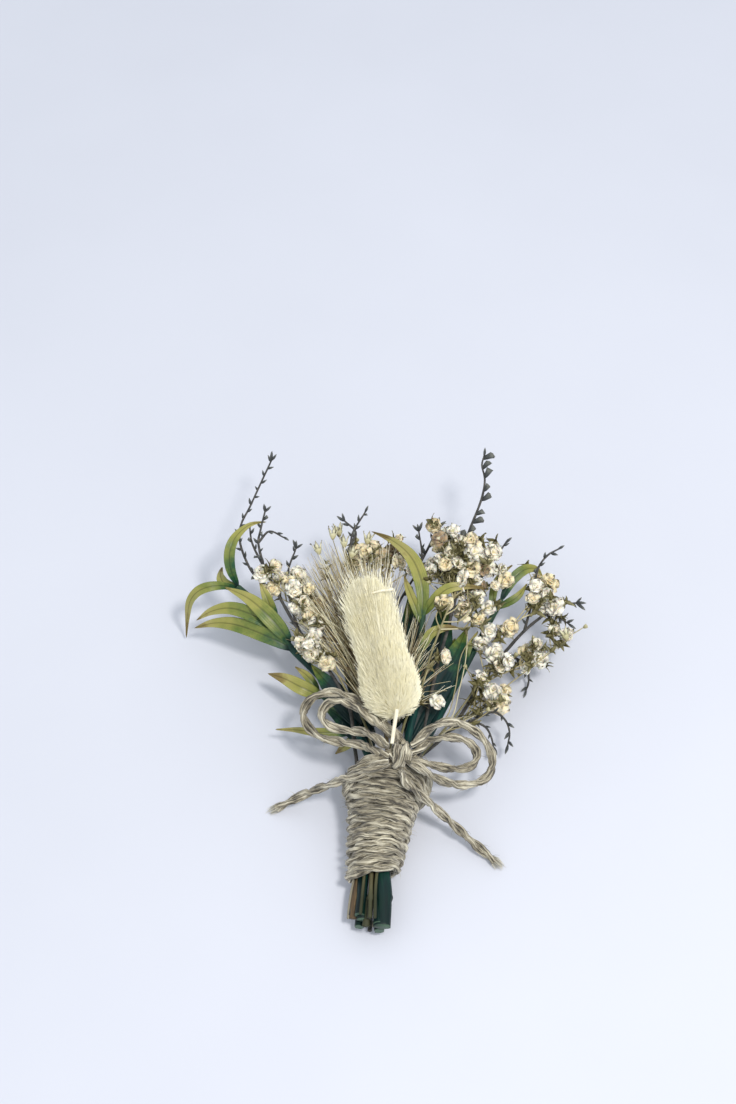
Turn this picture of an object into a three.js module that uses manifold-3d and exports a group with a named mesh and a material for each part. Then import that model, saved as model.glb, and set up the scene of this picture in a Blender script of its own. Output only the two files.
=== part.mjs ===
// A dried-flower boutonniere lying on its back. A bunny-tail grass head lies in front of bearded grass,
// baby's breath, sea lavender and long-leaved sprays, all bound in a cone of twine with a bow on top.
// Units are millimetres: X runs across the bunch, Y from the cut stems to the tips, Z up.
import * as THREE from "three";
import { mergeVertices } from "three/addons/utils/BufferGeometryUtils.js";
import Module from "manifold-3d";

const wasm = await Module();
wasm.setup();

// ---------------------------------------------------------------- driving dimensions

const GAP = 0.3; // clearance kept between neighbouring pieces
const TWINE = 2; // twine diameter
const BORE_NARROW = 4.25; // inside radius of the wrap near the cut ends
const BORE_WIDE = 8.15; // inside radius of the wrap at its mouth
const TURN_DEEP = 1.6; // radial thickness of one pressed turn
const TURNS = 12; // turns of the wrap
const GROOVE = 0.55; // depth between two turns
const PRESS = 0.9; // how far the underside of the wrap is pressed flat
const WRAP_NARROW = at(-1, -49, BORE_NARROW + TURN_DEEP - PRESS);
const WRAP_WIDE = at(2.5, -24, BORE_WIDE + TURN_DEEP - PRESS);
const CUT = at(-1.5, -59.5, 4.9); // middle of the cut stem ends
const CUT_SPREAD = 1.15; // how far the cut ends flare, against the wrap's narrow end
const WIDE_SPREAD = 1.92; // how far the stems part at the mouth of the wrap

const LEAF_THICK = 0.9; // middle of a leaf blade
const STALK = 0.35; // radius of the finest stalk
const SUNK = 0.3; // how far a scale's root is sunk into its twig
const BLOOM = 2.2; // radius of one flower of the baby's breath
const HEAD_LONG = 37; // length of the bunny-tail head
const HEAD_WIDE = 6.7; // its radius over the hairs
const AWN = 0.32; // radius of an awn at its root

// ---------------------------------------------------------------- points and random numbers

function at(x, y, z) {
  return new THREE.Vector3(x, y, z);
}

function points(list) {
  return list.map(([x, y, z]) => at(x, y, z));
}

// A small seeded generator, so each draw comes out the same every time.
function seeded(seed) {
  let state = seed;
  return () => {
    state = (state + 0x6d2b79f5) | 0;
    let t = Math.imul(state ^ (state >>> 15), 1 | state);
    t = (t + Math.imul(t ^ (t >>> 7), 61 | t)) ^ t;
    return ((t ^ (t >>> 14)) >>> 0) / 4294967296;
  };
}

// Side and normal of a path at a tangent, for a blade or section that faces the given way.
function sideways(tangent, facing) {
  const side = facing.clone().cross(tangent).normalize();
  const normal = tangent.clone().cross(side).normalize();
  return { side, normal };
}

const FRONT = at(0, -0.45, 0.89); // the way most leaves face
const UP = at(0, 0, 1);

// ---------------------------------------------------------------- surfaces

// A closed surface through rings of points; a first or last ring of one point is a tip.
function loft(rings) {
  const flat = rings.flat();
  const index = [];
  let start = 0;
  for (let r = 0; r + 1 < rings.length; r++) {
    const here = rings[r].length;
    const next = rings[r + 1].length;
    const after = start + here;
    for (let i = 0; i < Math.max(here, next); i++) {
      const j = (i + 1) % Math.max(here, next);
      if (here === 1) index.push(start, after + j, after + i);
      else if (next === 1) index.push(start + i, start + j, after);
      else index.push(start + i, start + j, after + j, start + i, after + j, after + i);
    }
    start = after;
  }
  const first = rings[0].length;
  for (let i = 1; i + 1 < first; i++) index.push(0, i + 1, i);
  const last = rings[rings.length - 1].length;
  for (let i = 1; i + 1 < last; i++) index.push(start, start + i, start + i + 1);
  const geometry = new THREE.BufferGeometry().setFromPoints(flat);
  geometry.setIndex(index);
  return geometry;
}

function solidOf(geometry) {
  const bare = new THREE.BufferGeometry();
  bare.setAttribute("position", geometry.getAttribute("position"));
  if (geometry.index) bare.setIndex(geometry.index);
  const merged = mergeVertices(bare, 1e-4);
  const vertProperties = merged.getAttribute("position").array;
  const triVerts = new Uint32Array(merged.index.array);
  return new wasm.Manifold(new wasm.Mesh({ numProp: 3, vertProperties, triVerts }));
}

function geometryOf(solid) {
  const { numProp, vertProperties, triVerts } = solid.getMesh();
  const positions = new THREE.InterleavedBuffer(new Float32Array(vertProperties), numProp);
  const geometry = new THREE.BufferGeometry();
  geometry.setAttribute("position", new THREE.InterleavedBufferAttribute(positions, 3, 0));
  geometry.setIndex(new THREE.BufferAttribute(new Uint32Array(triVerts), 1));
  return geometry;
}

// ---------------------------------------------------------------- pieces and what they keep clear of

const SETTLED = []; // centre lines of the finished pieces, each with its radius

// Least distance between two straight stretches.
function apart(a, b, c, d) {
  const u = b.clone().sub(a);
  const v = d.clone().sub(c);
  const w = a.clone().sub(c);
  const uu = u.dot(u);
  const uv = u.dot(v);
  const vv = v.dot(v);
  const uw = u.dot(w);
  const vw = v.dot(w);
  const denominator = uu * vv - uv * uv;
  let s = denominator > 1e-9 ? THREE.MathUtils.clamp((uv * vw - vv * uw) / denominator, 0, 1) : 0;
  const t = THREE.MathUtils.clamp((uv * s + vw) / Math.max(vv, 1e-9), 0, 1);
  s = THREE.MathUtils.clamp((uv * t - uw) / Math.max(uu, 1e-9), 0, 1);
  return a.clone().addScaledVector(u, s).distanceTo(c.clone().addScaledVector(v, t));
}

function isClear(path, radius) {
  for (let i = 0; i + 1 < path.length; i++) {
    const a = path[i];
    const b = path[i + 1];
    const middle = a.clone().add(b).multiplyScalar(0.5);
    const reach = a.distanceTo(b) / 2 + radius + GAP;
    for (const line of SETTLED) {
      if (middle.distanceTo(line.middle) > reach + line.reach) continue;
      if (apart(a, b, line.a, line.b) < radius + line.radius + GAP) return false;
    }
  }
  return path.every((p) => p.z > radius);
}

// One grown or made piece: its solids are fused into one body when it is finished.
class Piece {
  constructor(name, colour, roughness) {
    this.name = name;
    this.material = new THREE.MeshStandardMaterial({ color: colour, roughness, metalness: 0 });
    this.solids = [];
    this.lines = [];
  }

  add(geometry) {
    this.solids.push(solidOf(geometry));
    return this;
  }

  // Remembers a centre line, so that later pieces keep clear of it.
  track(path, radius) {
    for (let i = 0; i + 1 < path.length; i++) {
      const a = path[i];
      const b = path[i + 1];
      const middle = a.clone().add(b).multiplyScalar(0.5);
      this.lines.push({ a, b, radius, middle, reach: a.distanceTo(b) / 2 + radius });
    }
    return this;
  }

  // A round stem along the points, thinning from one radius to the other.
  stem(path, thick, thin, sides, steps = 1) {
    const curve = new THREE.CatmullRomCurve3(path, false, "centripetal");
    const count = (path.length - 1) * steps;
    const rings = [];
    const middles = [];
    for (let k = 0; k <= count; k++) {
      const middle = curve.getPoint(k / count);
      const radius = THREE.MathUtils.lerp(thick, thin, k / count);
      const { side, normal } = sideways(curve.getTangent(k / count), FRONT);
      const ring = [];
      for (let i = 0; i < sides; i++) {
        const angle = (i / sides) * 2 * Math.PI;
        ring.push(
          middle
            .clone()
            .addScaledVector(side, radius * Math.cos(angle))
            .addScaledVector(normal, radius * Math.sin(angle)),
        );
      }
      rings.push(ring);
      middles.push(middle);
    }
    this.track(middles, thick);
    return this.add(loft(rings));
  }

  // A lance-shaped blade with a raised midrib: four points round each ring, a tip at both ends.
  leaf(path, wide, facing = FRONT, rings = 7) {
    const curve = new THREE.CatmullRomCurve3(path, false, "centripetal");
    const outline = [[curve.getPoint(0)]];
    const left = [];
    const right = [];
    for (let k = 1; k < rings; k++) {
      const t = k / rings;
      const swell = Math.pow(Math.sin(Math.PI * Math.pow(t, 0.8)), 0.75);
      const half = Math.max((wide / 2) * swell, 0.4);
      const thick = Math.max((LEAF_THICK / 2) * Math.min(1, swell * 1.3), 0.35);
      const middle = curve.getPoint(t);
      const { side, normal } = sideways(curve.getTangent(t), facing);
      const edge = (amount) => middle.clone().addScaledVector(side, amount);
      const face = (amount) => middle.clone().addScaledVector(normal, amount);
      outline.push([edge(half), face(thick), edge(-half), face(-thick)]);
      left.push(edge(half - 0.3));
      right.push(edge(0.3 - half));
    }
    outline.push([curve.getPoint(1)]);
    const middles = outline.map((ring, k) => curve.getPoint(k / rings));
    this.track(middles, LEAF_THICK / 2).track(left, 0.3).track(right, 0.3);
    return this.add(loft(outline));
  }

  // A small pointed scale standing off a twig.
  scale(root, direction, long, wide) {
    const { side, normal } = sideways(direction, Math.abs(direction.z) > 0.95 ? FRONT : UP);
    const foot = root.clone().addScaledVector(direction, -SUNK);
    const belly = root.clone().addScaledVector(direction, long * 0.45);
    const ring = [0, 1, 2].map((i) => {
      const angle = (i / 3) * 2 * Math.PI;
      return belly
        .clone()
        .addScaledVector(side, wide * Math.cos(angle))
        .addScaledVector(normal, wide * Math.sin(angle));
    });
    const tip = root.clone().addScaledVector(direction, long);
    this.track([root, tip], wide * 0.8);
    return this.add(loft([[foot], ring, [tip]]));
  }

  // A double flower: a starred cup of five petals with a smaller ring of petals in it.
  bloom(centre, facing, radius, turn) {
    const { side, normal } = sideways(facing, Math.abs(facing.y) > 0.9 ? UP : at(0, 1, 0));
    const star = (outer, inner, rise, spin) => {
      const ring = [];
      for (let i = 0; i < 10; i++) {
        const angle = turn + spin + (i / 10) * 2 * Math.PI;
        const reach = i % 2 === 0 ? outer : inner;
        ring.push(
          centre
            .clone()
            .addScaledVector(facing, rise)
            .addScaledVector(side, reach * Math.cos(angle))
            .addScaledVector(normal, reach * Math.sin(angle)),
        );
      }
      return ring;
    };
    const calyx = centre.clone().addScaledVector(facing, -0.7 * radius);
    const heart = centre.clone().addScaledVector(facing, 0.42 * radius);
    const petals = star(radius, 0.66 * radius, 0.1 * radius, 0);
    const inner = star(0.55 * radius, 0.36 * radius, 0.5 * radius, Math.PI / 10);
    this.track([calyx, heart], 0.8 * radius);
    return this.add(loft([[calyx], petals, inner, [heart]]));
  }

  // Fuses the solids and hands back the named mesh.
  finish() {
    const joined = this.solids.length > 1 ? wasm.Manifold.union(this.solids) : this.solids[0];
    SETTLED.push(...this.lines);
    const mesh = new THREE.Mesh(geometryOf(joined), this.material);
    mesh.name = this.name;
    return mesh;
  }
}

// ---------------------------------------------------------------- twine wrap

const WRAP_AXIS = WRAP_WIDE.clone().sub(WRAP_NARROW).normalize();
const WRAP_LONG = WRAP_NARROW.distanceTo(WRAP_WIDE);
const WRAP_SIDES = 20;
const ROWS_A_TURN = 3;

// A point on the wrap: distance along the axis, angle from the underside, and distance inward.
function onWrap(along, angle, inward) {
  const { side, normal } = sideways(WRAP_AXIS, UP);
  const share = along / WRAP_LONG;
  const radius = THREE.MathUtils.lerp(BORE_NARROW, BORE_WIDE, share) + TURN_DEEP - inward;
  const point = WRAP_NARROW.clone()
    .addScaledVector(WRAP_AXIS, along)
    .addScaledVector(side, radius * Math.sin(angle))
    .addScaledVector(normal, -radius * Math.cos(angle));
  point.z = Math.max(point.z, 0);
  return point;
}

// The rows of the outside follow the winding: each row climbs one pitch per turn, so it ends
// ROWS_A_TURN rows further up than it starts.
function makeWrap() {
  const piece = new Piece("twine_wrap", 0xa89b88, 0.95);
  const pitch = WRAP_LONG / (TURNS + 1);
  const rows = TURNS * ROWS_A_TURN;
  const flat = [];
  const index = [];
  const outside = new Map();
  const keep = (point) => flat.push(point) - 1;
  for (let row = 0; row <= rows + ROWS_A_TURN; row++) {
    for (let i = 0; i < (row > rows ? 1 : WRAP_SIDES); i++) {
      const along = (row / ROWS_A_TURN + i / WRAP_SIDES) * pitch;
      const inward = row % ROWS_A_TURN === 0 ? GROOVE : 0;
      outside.set(row + ":" + i, keep(onWrap(along, (i / WRAP_SIDES) * 2 * Math.PI, inward)));
    }
  }
  const out = (row, i) => outside.get(i === WRAP_SIDES ? row + ROWS_A_TURN + ":0" : row + ":" + i);
  const bore = [0, WRAP_LONG].map((along) =>
    Array.from({ length: WRAP_SIDES }, (_, i) =>
      keep(onWrap(along, (i / WRAP_SIDES) * 2 * Math.PI, TURN_DEEP)),
    ),
  );
  const quad = (a, b, c, d) => index.push(a, b, c, a, c, d);
  for (let i = 0; i < WRAP_SIDES; i++) {
    const j = (i + 1) % WRAP_SIDES;
    for (let row = 0; row < rows; row++) {
      quad(out(row, i), out(row, i + 1), out(row + 1, i + 1), out(row + 1, i));
    }
    quad(bore[1][i], bore[1][j], bore[0][j], bore[0][i]);
    quad(bore[0][i], bore[0][j], out(0, i + 1), out(0, i));
    quad(out(rows, i), out(rows, i + 1), bore[1][j], bore[1][i]);
  }
  for (let row = 0; row < ROWS_A_TURN; row++) {
    index.push(bore[0][0], out(row, 0), out(row + 1, 0));
    index.push(bore[1][0], out(rows + row + 1, 0), out(rows + row, 0));
  }
  const geometry = new THREE.BufferGeometry().setFromPoints(flat);
  geometry.setIndex(index);
  for (let i = 0; i < 24; i++) {
    const angle = (i / 24) * 2 * Math.PI;
    piece.track([onWrap(0, angle, TURN_DEEP / 2), onWrap(WRAP_LONG, angle, TURN_DEEP / 2)], 0.8);
  }
  return piece.add(geometry).finish();
}

// ---------------------------------------------------------------- bow

const KNOT_MIDDLE = at(5.4, -25.7, 20.1);
const KNOT_HALF = at(1.9, 2.9, 2.2);
const KNOT_RINGS = [0.86, 1, 0.92, 1, 0.92, 1, 0.86]; // three turns of twine across the knot

function makeKnot() {
  const piece = new Piece("bow_knot", 0xa89b88, 0.95);
  const rings = KNOT_RINGS.map((swell, k) => {
    const x = KNOT_MIDDLE.x + KNOT_HALF.x * ((2 * k) / (KNOT_RINGS.length - 1) - 1);
    return Array.from({ length: 12 }, (_, i) => {
      const angle = (i / 12) * 2 * Math.PI;
      const round = (value) => Math.sign(value) * Math.pow(Math.abs(value), 0.7);
      return at(
        x,
        KNOT_MIDDLE.y + KNOT_HALF.y * swell * round(Math.cos(angle)),
        KNOT_MIDDLE.z + KNOT_HALF.z * swell * round(Math.sin(angle)),
      );
    });
  });
  const { x, y, z } = KNOT_MIDDLE;
  piece.track([at(x, y - 1, z), at(x, y + 1, z)], 2.2);
  return piece.add(loft(rings)).finish();
}

// Free twine: each route runs from one face of the knot, and a loop comes back to it.
const BOW = {
  bow_loop_left_outer: points([
    [2.8, -25.9, 19.5], [1.4, -25.2, 19.5], [-0.7, -23.3, 18.6], [-4, -21.2, 17.1], [-8, -20, 15.9],
    [-12.6, -18.2, 15], [-15.5, -15.2, 14.8], [-16.4, -11.8, 15.3], [-14.4, -8.9, 16.3], [-10.6, -8, 17.3],
    [-6.4, -9.4, 18.2], [-2.2, -12.6, 18.6], [1.8, -16.9, 18.7], [4.9, -20.2, 19.1], [6.5, -22.4, 19.4],
  ]),
  bow_loop_left_inner: points([
    [2.8, -24, 21.5], [1.5, -23.3, 21.4], [-0.2, -21.4, 20.8], [-2.8, -19.6, 19.8], [-6.5, -18.5, 18.5],
    [-10.2, -17.2, 18], [-12.2, -14.7, 18.3], [-10.9, -12.2, 19.3], [-7.4, -12, 20.2], [-4, -14, 20.6],
    [-1.1, -16.7, 20.7], [2.2, -19.6, 20.7], [4, -21.2, 20.8], [4.7, -22.4, 20.9],
  ]),
  bow_loop_right_outer: points([
    [7.7, -23.8, 21.2], [9.2, -22.7, 21.6], [11.4, -20.2, 21.6], [15, -17.6, 20.6], [18.7, -17, 19.1],
    [22.2, -18.2, 17.4], [24.8, -20.4, 15.6], [26, -23.3, 13.8], [25.4, -26.1, 12.6], [23.2, -28, 12.2],
    [20, -29, 12.7], [16.4, -29.4, 14.2], [12.9, -29.2, 16.7], [10.2, -28.8, 19.4], [8.9, -28.3, 20.5],
    [7.7, -27.9, 20.9],
  ]),
  bow_loop_right_inner: points([
    [7.9, -24.5, 18.9], [9.3, -23.7, 19], [11.4, -21.4, 18.8], [15, -19.8, 17.6], [18.6, -19.2, 16.2],
    [21.4, -19.9, 14.7], [22.6, -21.8, 13.4], [21.8, -23.9, 12.8], [19.2, -25.4, 13.4],
    [15.8, -26.1, 15], [12.4, -26.3, 17], [9.8, -26.5, 18.3], [7.7, -26.7, 18.7],
  ]),
  bow_tail_left: points([
    [2.8, -27.8, 20.9], [0.4, -28.3, 20.4], [-3.2, -28.7, 18.2], [-7.2, -28.4, 14.2], [-11.2, -27.6, 9.4],
    [-16.5, -27.4, 4.6], [-22.6, -29, 1.1],
  ]),
  bow_tail_right: points([
    [5.6, -29.4, 20.1], [6.6, -31, 17.7], [8.9, -31.8, 14.8], [11.6, -32.4, 11], [15.6, -34.2, 6.8],
    [20.6, -37.4, 3.2], [26.5, -42, 1.1],
  ]),
};
const TWINE_STEP = 4; // distance between two rings of a free twine

function makeTwine(name, route) {
  const piece = new Piece(name, 0xa89b88, 0.95);
  const curve = new THREE.CatmullRomCurve3(route, false, "centripetal");
  const section = new THREE.Shape();
  for (let i = 0; i < 8; i++) {
    const angle = (i / 8) * 2 * Math.PI;
    const x = (TWINE / 2) * Math.cos(angle);
    const y = (TWINE / 2) * Math.sin(angle);
    if (i === 0) section.moveTo(x, y);
    else section.lineTo(x, y);
  }
  const steps = Math.round(curve.getLength() / TWINE_STEP);
  piece.track(curve.getPoints(steps * 2), TWINE / 2);
  return piece
    .add(new THREE.ExtrudeGeometry(section, { steps, extrudePath: curve, bevelEnabled: false }))
    .finish();
}

// ---------------------------------------------------------------- stems in the bundle

// Where each stem sits among the others: across and up from the middle of the wrap's narrow end,
// and how much shorter than the longest it is cut.
const SEATS = {
  leafy_spray_left: { across: -1.75, up: 1, short: 2.4 },
  leafy_spray_low_left: { across: -1.9, up: -1.6, short: 1 },
  leafy_spray_centre: { across: 1.75, up: 1.35, short: 0.3 },
  leafy_spray_right: { across: 1.9, up: -1.35, short: 0 },
  bearded_grass: { across: 0, up: 2.3, short: 1.2 },
  babys_breath_left: { across: -1.62, up: 3.05, short: 1.8 },
  babys_breath_right: { across: 1.07, up: 3.28, short: 0.8 },
  babys_breath_top: { across: 0, up: -1.45, short: 1.4 },
  babys_breath_low_right: { across: 1.35, up: -3.17, short: 0.6 },
  sea_lavender_left: { across: -3.44, up: -0.24, short: 3.2 },
  sea_lavender_top: { across: 0, up: -0.1, short: 2 },
  sea_lavender_tall: { across: 3.45, up: 0.06, short: 1.6 },
  sea_lavender_low_right: { across: 0.12, up: -3.45, short: 1 },
};

// The stretch of a stem from its cut end through the wrap.
function bundled(name) {
  const { across, up, short } = SEATS[name];
  const cut = at(CUT.x + across * CUT_SPREAD, CUT.y + short, CUT.z + up * CUT_SPREAD);
  const narrow = WRAP_NARROW.clone().add(at(across, 0, up));
  const wide = WRAP_WIDE.clone().add(at(across * WIDE_SPREAD, 0, up * WIDE_SPREAD));
  return [cut, narrow, narrow.clone().lerp(wide, 0.5), wide];
}

// ---------------------------------------------------------------- leafy sprays

// Each spray: its stem past the wrap, and its leaves as a route and a width.
const LEAFY = {
  leafy_spray_left: {
    thick: 1.15,
    thin: 0.75,
    stem: [[-3.6, -16, 11], [-7, -7, 9.8], [-14, 1.5, 10], [-20.5, 8.5, 11], [-25, 15.5, 13], [-32.8, 22.3, 14.8]],
    leaves: [
      { wide: 3, route: [[-19.5, 7.4, 10.8], [-26.5, 9.5, 12.8], [-34, 13, 12.8], [-39, 14.5, 11], [-44, 15, 8]] },
      { wide: 2.9, route: [[-22.6, 12, 12], [-29, 14.2, 15], [-36, 16, 15.5], [-40.5, 16.5, 13], [-43.5, 16, 10]] },
      { wide: 3.3, route: [[-21.6, 10.4, 11.6], [-25.5, 14, 15.6], [-30.5, 17.6, 17.6], [-36, 20.5, 17]] },
      { wide: 2.4, route: [[-24.6, 15, 13], [-26, 18, 17], [-27.5, 21, 19]] },
      {
        wide: 2.8,
        route: [[-32.8, 22.3, 14.8], [-38, 20.8, 17.6], [-41.5, 20, 17], [-44, 19.5, 13.5], [-45.2, 18.5, 7.5], [-46, 16.5, 0.5]],
      },
      {
        wide: 3,
        route: [
          [-32.5, 22.2, 14.8], [-34.5, 24, 19], [-35, 26.5, 21.8], [-34.5, 29.5, 23.6], [-33, 33, 23.8],
          [-30.5, 36.5, 22.6], [-26, 39.5, 19.5],
        ],
      },
      { wide: 2.1, route: [[-32.6, 22.1, 14.8], [-36.5, 24, 14.6], [-37.2, 26.5, 14], [-37.2, 29, 13]] },
      { wide: 4.6, route: [[-5.2, -11.6, 10.4], [-9, -6.5, 11.9], [-12, -2.6, 12.2], [-15.2, 1, 12.6]] },
    ],
  },
  leafy_spray_low_left: {
    thick: 1,
    thin: 0.7,
    stem: [[-2.6, -16, 7], [-5.8, -10.5, 7.4], [-10.2, -5.5, 7.6], [-13.6, -2.5, 8.4]],
    leaves: [
      { wide: 3.3, route: [[-12.5, -3.5, 8.2], [-17.5, -2.5, 10.6], [-21.5, -0.2, 10.6], [-25.5, 2, 9]] },
      { wide: 2.4, route: [[-13.2, -2.8, 8.4], [-16, 0.4, 10.4], [-19, 3, 10.4]] },
      { wide: 2.5, route: [[-4.6, -12.8, 7.2], [-9.5, -13, 7.4], [-14, -13, 7.8], [-18.5, -12.4, 7.8], [-23.5, -11.5, 6.4]] },
      { wide: 2.6, route: [[-4, -13.6, 7], [-7, -14.8, 4.6], [-9.5, -15.8, 2.4]] },
    ],
  },
  leafy_spray_centre: {
    thick: 1.15,
    thin: 0.7,
    stem: [[7.5, -16, 13], [9.3, -8, 14], [10.2, 3, 15.2], [11, 13.5, 16.6]],
    leaves: [
      {
        wide: 3,
        route: [
          [10.7, 12.2, 16.2], [10.5, 18.5, 20], [9, 23, 22], [7, 27, 22.4], [3.8, 31.5, 21], [-1.5, 36.5, 18],
        ],
      },
      { wide: 2.6, route: [[10.9, 13, 16.4], [14, 15.8, 20], [17, 17.5, 21.6], [21, 18, 21.6], [25.8, 18.5, 20]] },
      { wide: 2.4, route: [[10.5, 11, 16.2], [8.8, 15.5, 18.6], [7.4, 19.2, 19.6], [6.6, 22.6, 19.6]] },
      { wide: 2.6, route: [[10.2, 3.5, 15.3], [12.5, 7.5, 17.3], [16, 9, 17.8], [20.5, 9.5, 16.4]] },
    ],
  },
  leafy_spray_right: {
    thick: 1.1,
    thin: 0.7,
    stem: [[11, -16, 7.5], [17, -4, 8], [24, 9.5, 10.2], [29.8, 19.8, 13]],
    leaves: [
      { wide: 3, route: [[29.4, 19.2, 12.8], [32.5, 24, 15.5], [35.5, 26.4, 16.2], [38.2, 27.4, 15], [40, 27, 12.5]] },
      { wide: 2.2, route: [[27.4, 15.6, 11.8], [28, 22, 14.4], [30.2, 26.4, 14.6], [33, 30, 13]] },
      { wide: 2.2, route: [[28.6, 17.8, 12.4], [33.5, 20, 14.2], [36, 23.4, 14.8]] },
      { wide: 2, route: [[20.4, 2.6, 9.2], [21.6, 7, 12], [24, 11, 13.4]] },
      { wide: 4.4, route: [[9.4, -18.6, 7.4], [12.4, -8, 10.2], [16, 2, 11.2], [18.6, 10, 10.8]] },
    ],
  },
};

function makeLeafy(name, spray) {
  const piece = new Piece(name, 0x4f6b3a, 0.45);
  piece.stem([...bundled(name), ...points(spray.stem)], spray.thick, spray.thin, 6, 1);
  for (const leaf of spray.leaves) piece.leaf(points(leaf.route), leaf.wide, FRONT, 2 * leaf.route.length);
  return piece.finish();
}

// ---------------------------------------------------------------- sea lavender

// Each plant: its stem past the wrap, then its twigs, each starting on the stem or on an earlier twig.
const LAVENDER = {
  sea_lavender_left: {
    stem: [[-5, -18, 12.4], [-6, -10, 13.6], [-11, 0, 14.2], [-18, 10, 15], [-23.4, 19.6, 16.6]],
    twigs: [
      [[-23.4, 19.6, 16.6], [-28.5, 23.6, 17.4], [-31, 28, 18], [-32.6, 33, 19], [-32.4, 37, 19.8], [-30.5, 41.5, 20.6], [-28, 48, 21.6], [-25.5, 54.5, 22.6]],
      [[-23.4, 19.6, 16.6], [-26.6, 26, 17.8], [-29.6, 32, 19.4], [-30.2, 35.6, 20.4]],
      [[-26.6, 26, 17.8], [-28, 31.2, 20.4], [-27.6, 34.6, 20.8], [-26.6, 39.6, 21.8]],
      [[-28, 31.2, 20.4], [-25.4, 34.2, 21], [-22, 32.8, 20.4]],
      [[-18, 10, 15], [-20.2, 18, 14.6], [-21, 27, 14.6], [-19.2, 33, 15.8]],
    ],
  },
  sea_lavender_top: {
    stem: [[2, -12, 10.8], [0, 5, 12.6], [-4, 18, 15], [-6.6, 28, 17.6]],
    twigs: [
      [[-6.6, 28, 17.6], [-6, 31.5, 19.6], [-5.6, 34, 20.4], [-2.6, 39.5, 21.4]],
      [[-6, 31.5, 19.6], [-4.8, 34.4, 20.2], [-7.6, 37.6, 20.6]],
      [[0, 5, 12.6], [5.4, 18, 14.6], [10.8, 28, 17.6], [10.2, 34.4, 21]],
      [[10.8, 28, 17.6], [13, 32, 19], [14.6, 35.6, 20.8]],
    ],
  },
  sea_lavender_tall: {
    stem: [[11.4, -12, 12], [14, 0, 14.4], [17.4, 12, 17.4], [20.2, 24, 20.8], [21, 29.5, 22.6]],
    twigs: [
      [[21, 29.5, 22.6], [22.2, 32.8, 23.8], [24, 37, 25.2], [25.4, 41, 26.4], [26, 45, 27.4], [25.4, 48.6, 28.2], [26, 51, 28.8]],
      [[20.2, 24, 20.8], [24.6, 27.4, 20.6], [29, 28.6, 20.6], [30.8, 31, 20.8]],
      [[17.4, 12, 17.4], [15.8, 20, 19.4], [14.6, 27.6, 21.6], [14, 34, 22]],
    ],
  },
  sea_lavender_low_right: {
    stem: [[10, -17, 3], [17, -10.6, 4], [24, -0.4, 6.4], [29.6, 7, 8.4], [35, 12.4, 11], [39.6, 16, 12.4]],
    twigs: [
      [[29.6, 7, 8.4], [33.6, 7, 7], [35.8, 5.4, 4.6], [36.2, 3.6, 2.4], [35.6, 2, 0.9]],
      [[39.6, 16, 12.4], [43.4, 18.6, 13], [47.6, 18.6, 13.6]],
      [[39.6, 16, 12.4], [42.6, 15.4, 12.6], [45.4, 13.4, 12.6]],
      [[35, 12.4, 11], [37.2, 20, 13], [38.6, 26.4, 16.8], [41, 29.4, 18], [43.6, 31, 18.2]],
      [[17, -10.6, 4], [21.6, -10.6, 8.4], [25, -12, 8.6], [26.4, -14, 7.4], [27, -15.8, 5.6]],
      [[21.6, -10.6, 8.4], [27.2, -9, 10], [29.8, -11, 9.4], [30.6, -13.4, 8], [30.2, -15.4, 6]],
    ],
  },
};
const SCALE_STEP = 3; // distance between two scales on a twig
const SCALE_LONG = 2;
const SCALE_WIDE = 0.55;

function makeLavender(name, plant, seed) {
  const piece = new Piece(name, 0x4b4a46, 0.9);
  const draw = seeded(seed);
  piece.stem([...bundled(name), ...points(plant.stem)], 0.48, 0.38, 4);
  for (const route of plant.twigs) {
    const path = points(route);
    piece.stem(path, 0.36, 0.3, 3);
    const curve = new THREE.CurvePath();
    for (let k = 0; k + 1 < path.length; k++) curve.add(new THREE.LineCurve3(path[k], path[k + 1]));
    const count = Math.floor(curve.getLength() / SCALE_STEP);
    for (let k = 1; k <= count; k++) {
      const t = (k - 0.02) / count;
      const tangent = curve.getTangent(t);
      const { side, normal } = sideways(tangent, FRONT);
      const turn = (k % 2 === 0 ? 1 : -1) * (0.5 + 0.5 * draw());
      const direction = tangent
        .clone()
        .multiplyScalar(k === count ? 2 : 0.9)
        .addScaledVector(side, turn)
        .addScaledVector(normal, draw() - 0.4)
        .normalize();
      direction.z = Math.max(direction.z, -0.2);
      piece.scale(curve.getPoint(t), direction, SCALE_LONG, SCALE_WIDE);
    }
  }
  return piece.finish();
}

// ---------------------------------------------------------------- bunny tail

const HEAD_BASE = at(5, -16.5, 22);
const HEAD_TIP = at(-3.6, 18.4, 26.4);
const TAIL_STALK = points([[4.6, -15, 22.2], [4.2, -18.6, 22.5], [3.8, -20.8, 22.6], [3.6, -23.6, 22.8]]);
const HEAD_PROFILE = [[0, 0.15], [0.04, 0.55], [0.12, 0.88], [0.25, 1], [0.6, 1], [0.85, 0.94], [0.94, 0.78], [1, 0.5]];
const TUFT_SIDES = 20;
const TUFT_ROWS = 30;

function profileAt(share) {
  for (let k = 1; k < HEAD_PROFILE.length; k++) {
    const [from, low] = HEAD_PROFILE[k - 1];
    const [to, high] = HEAD_PROFILE[k];
    if (share <= to) return THREE.MathUtils.mapLinear(share, from, to, low, high);
  }
  return HEAD_PROFILE[HEAD_PROFILE.length - 1][1];
}

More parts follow.
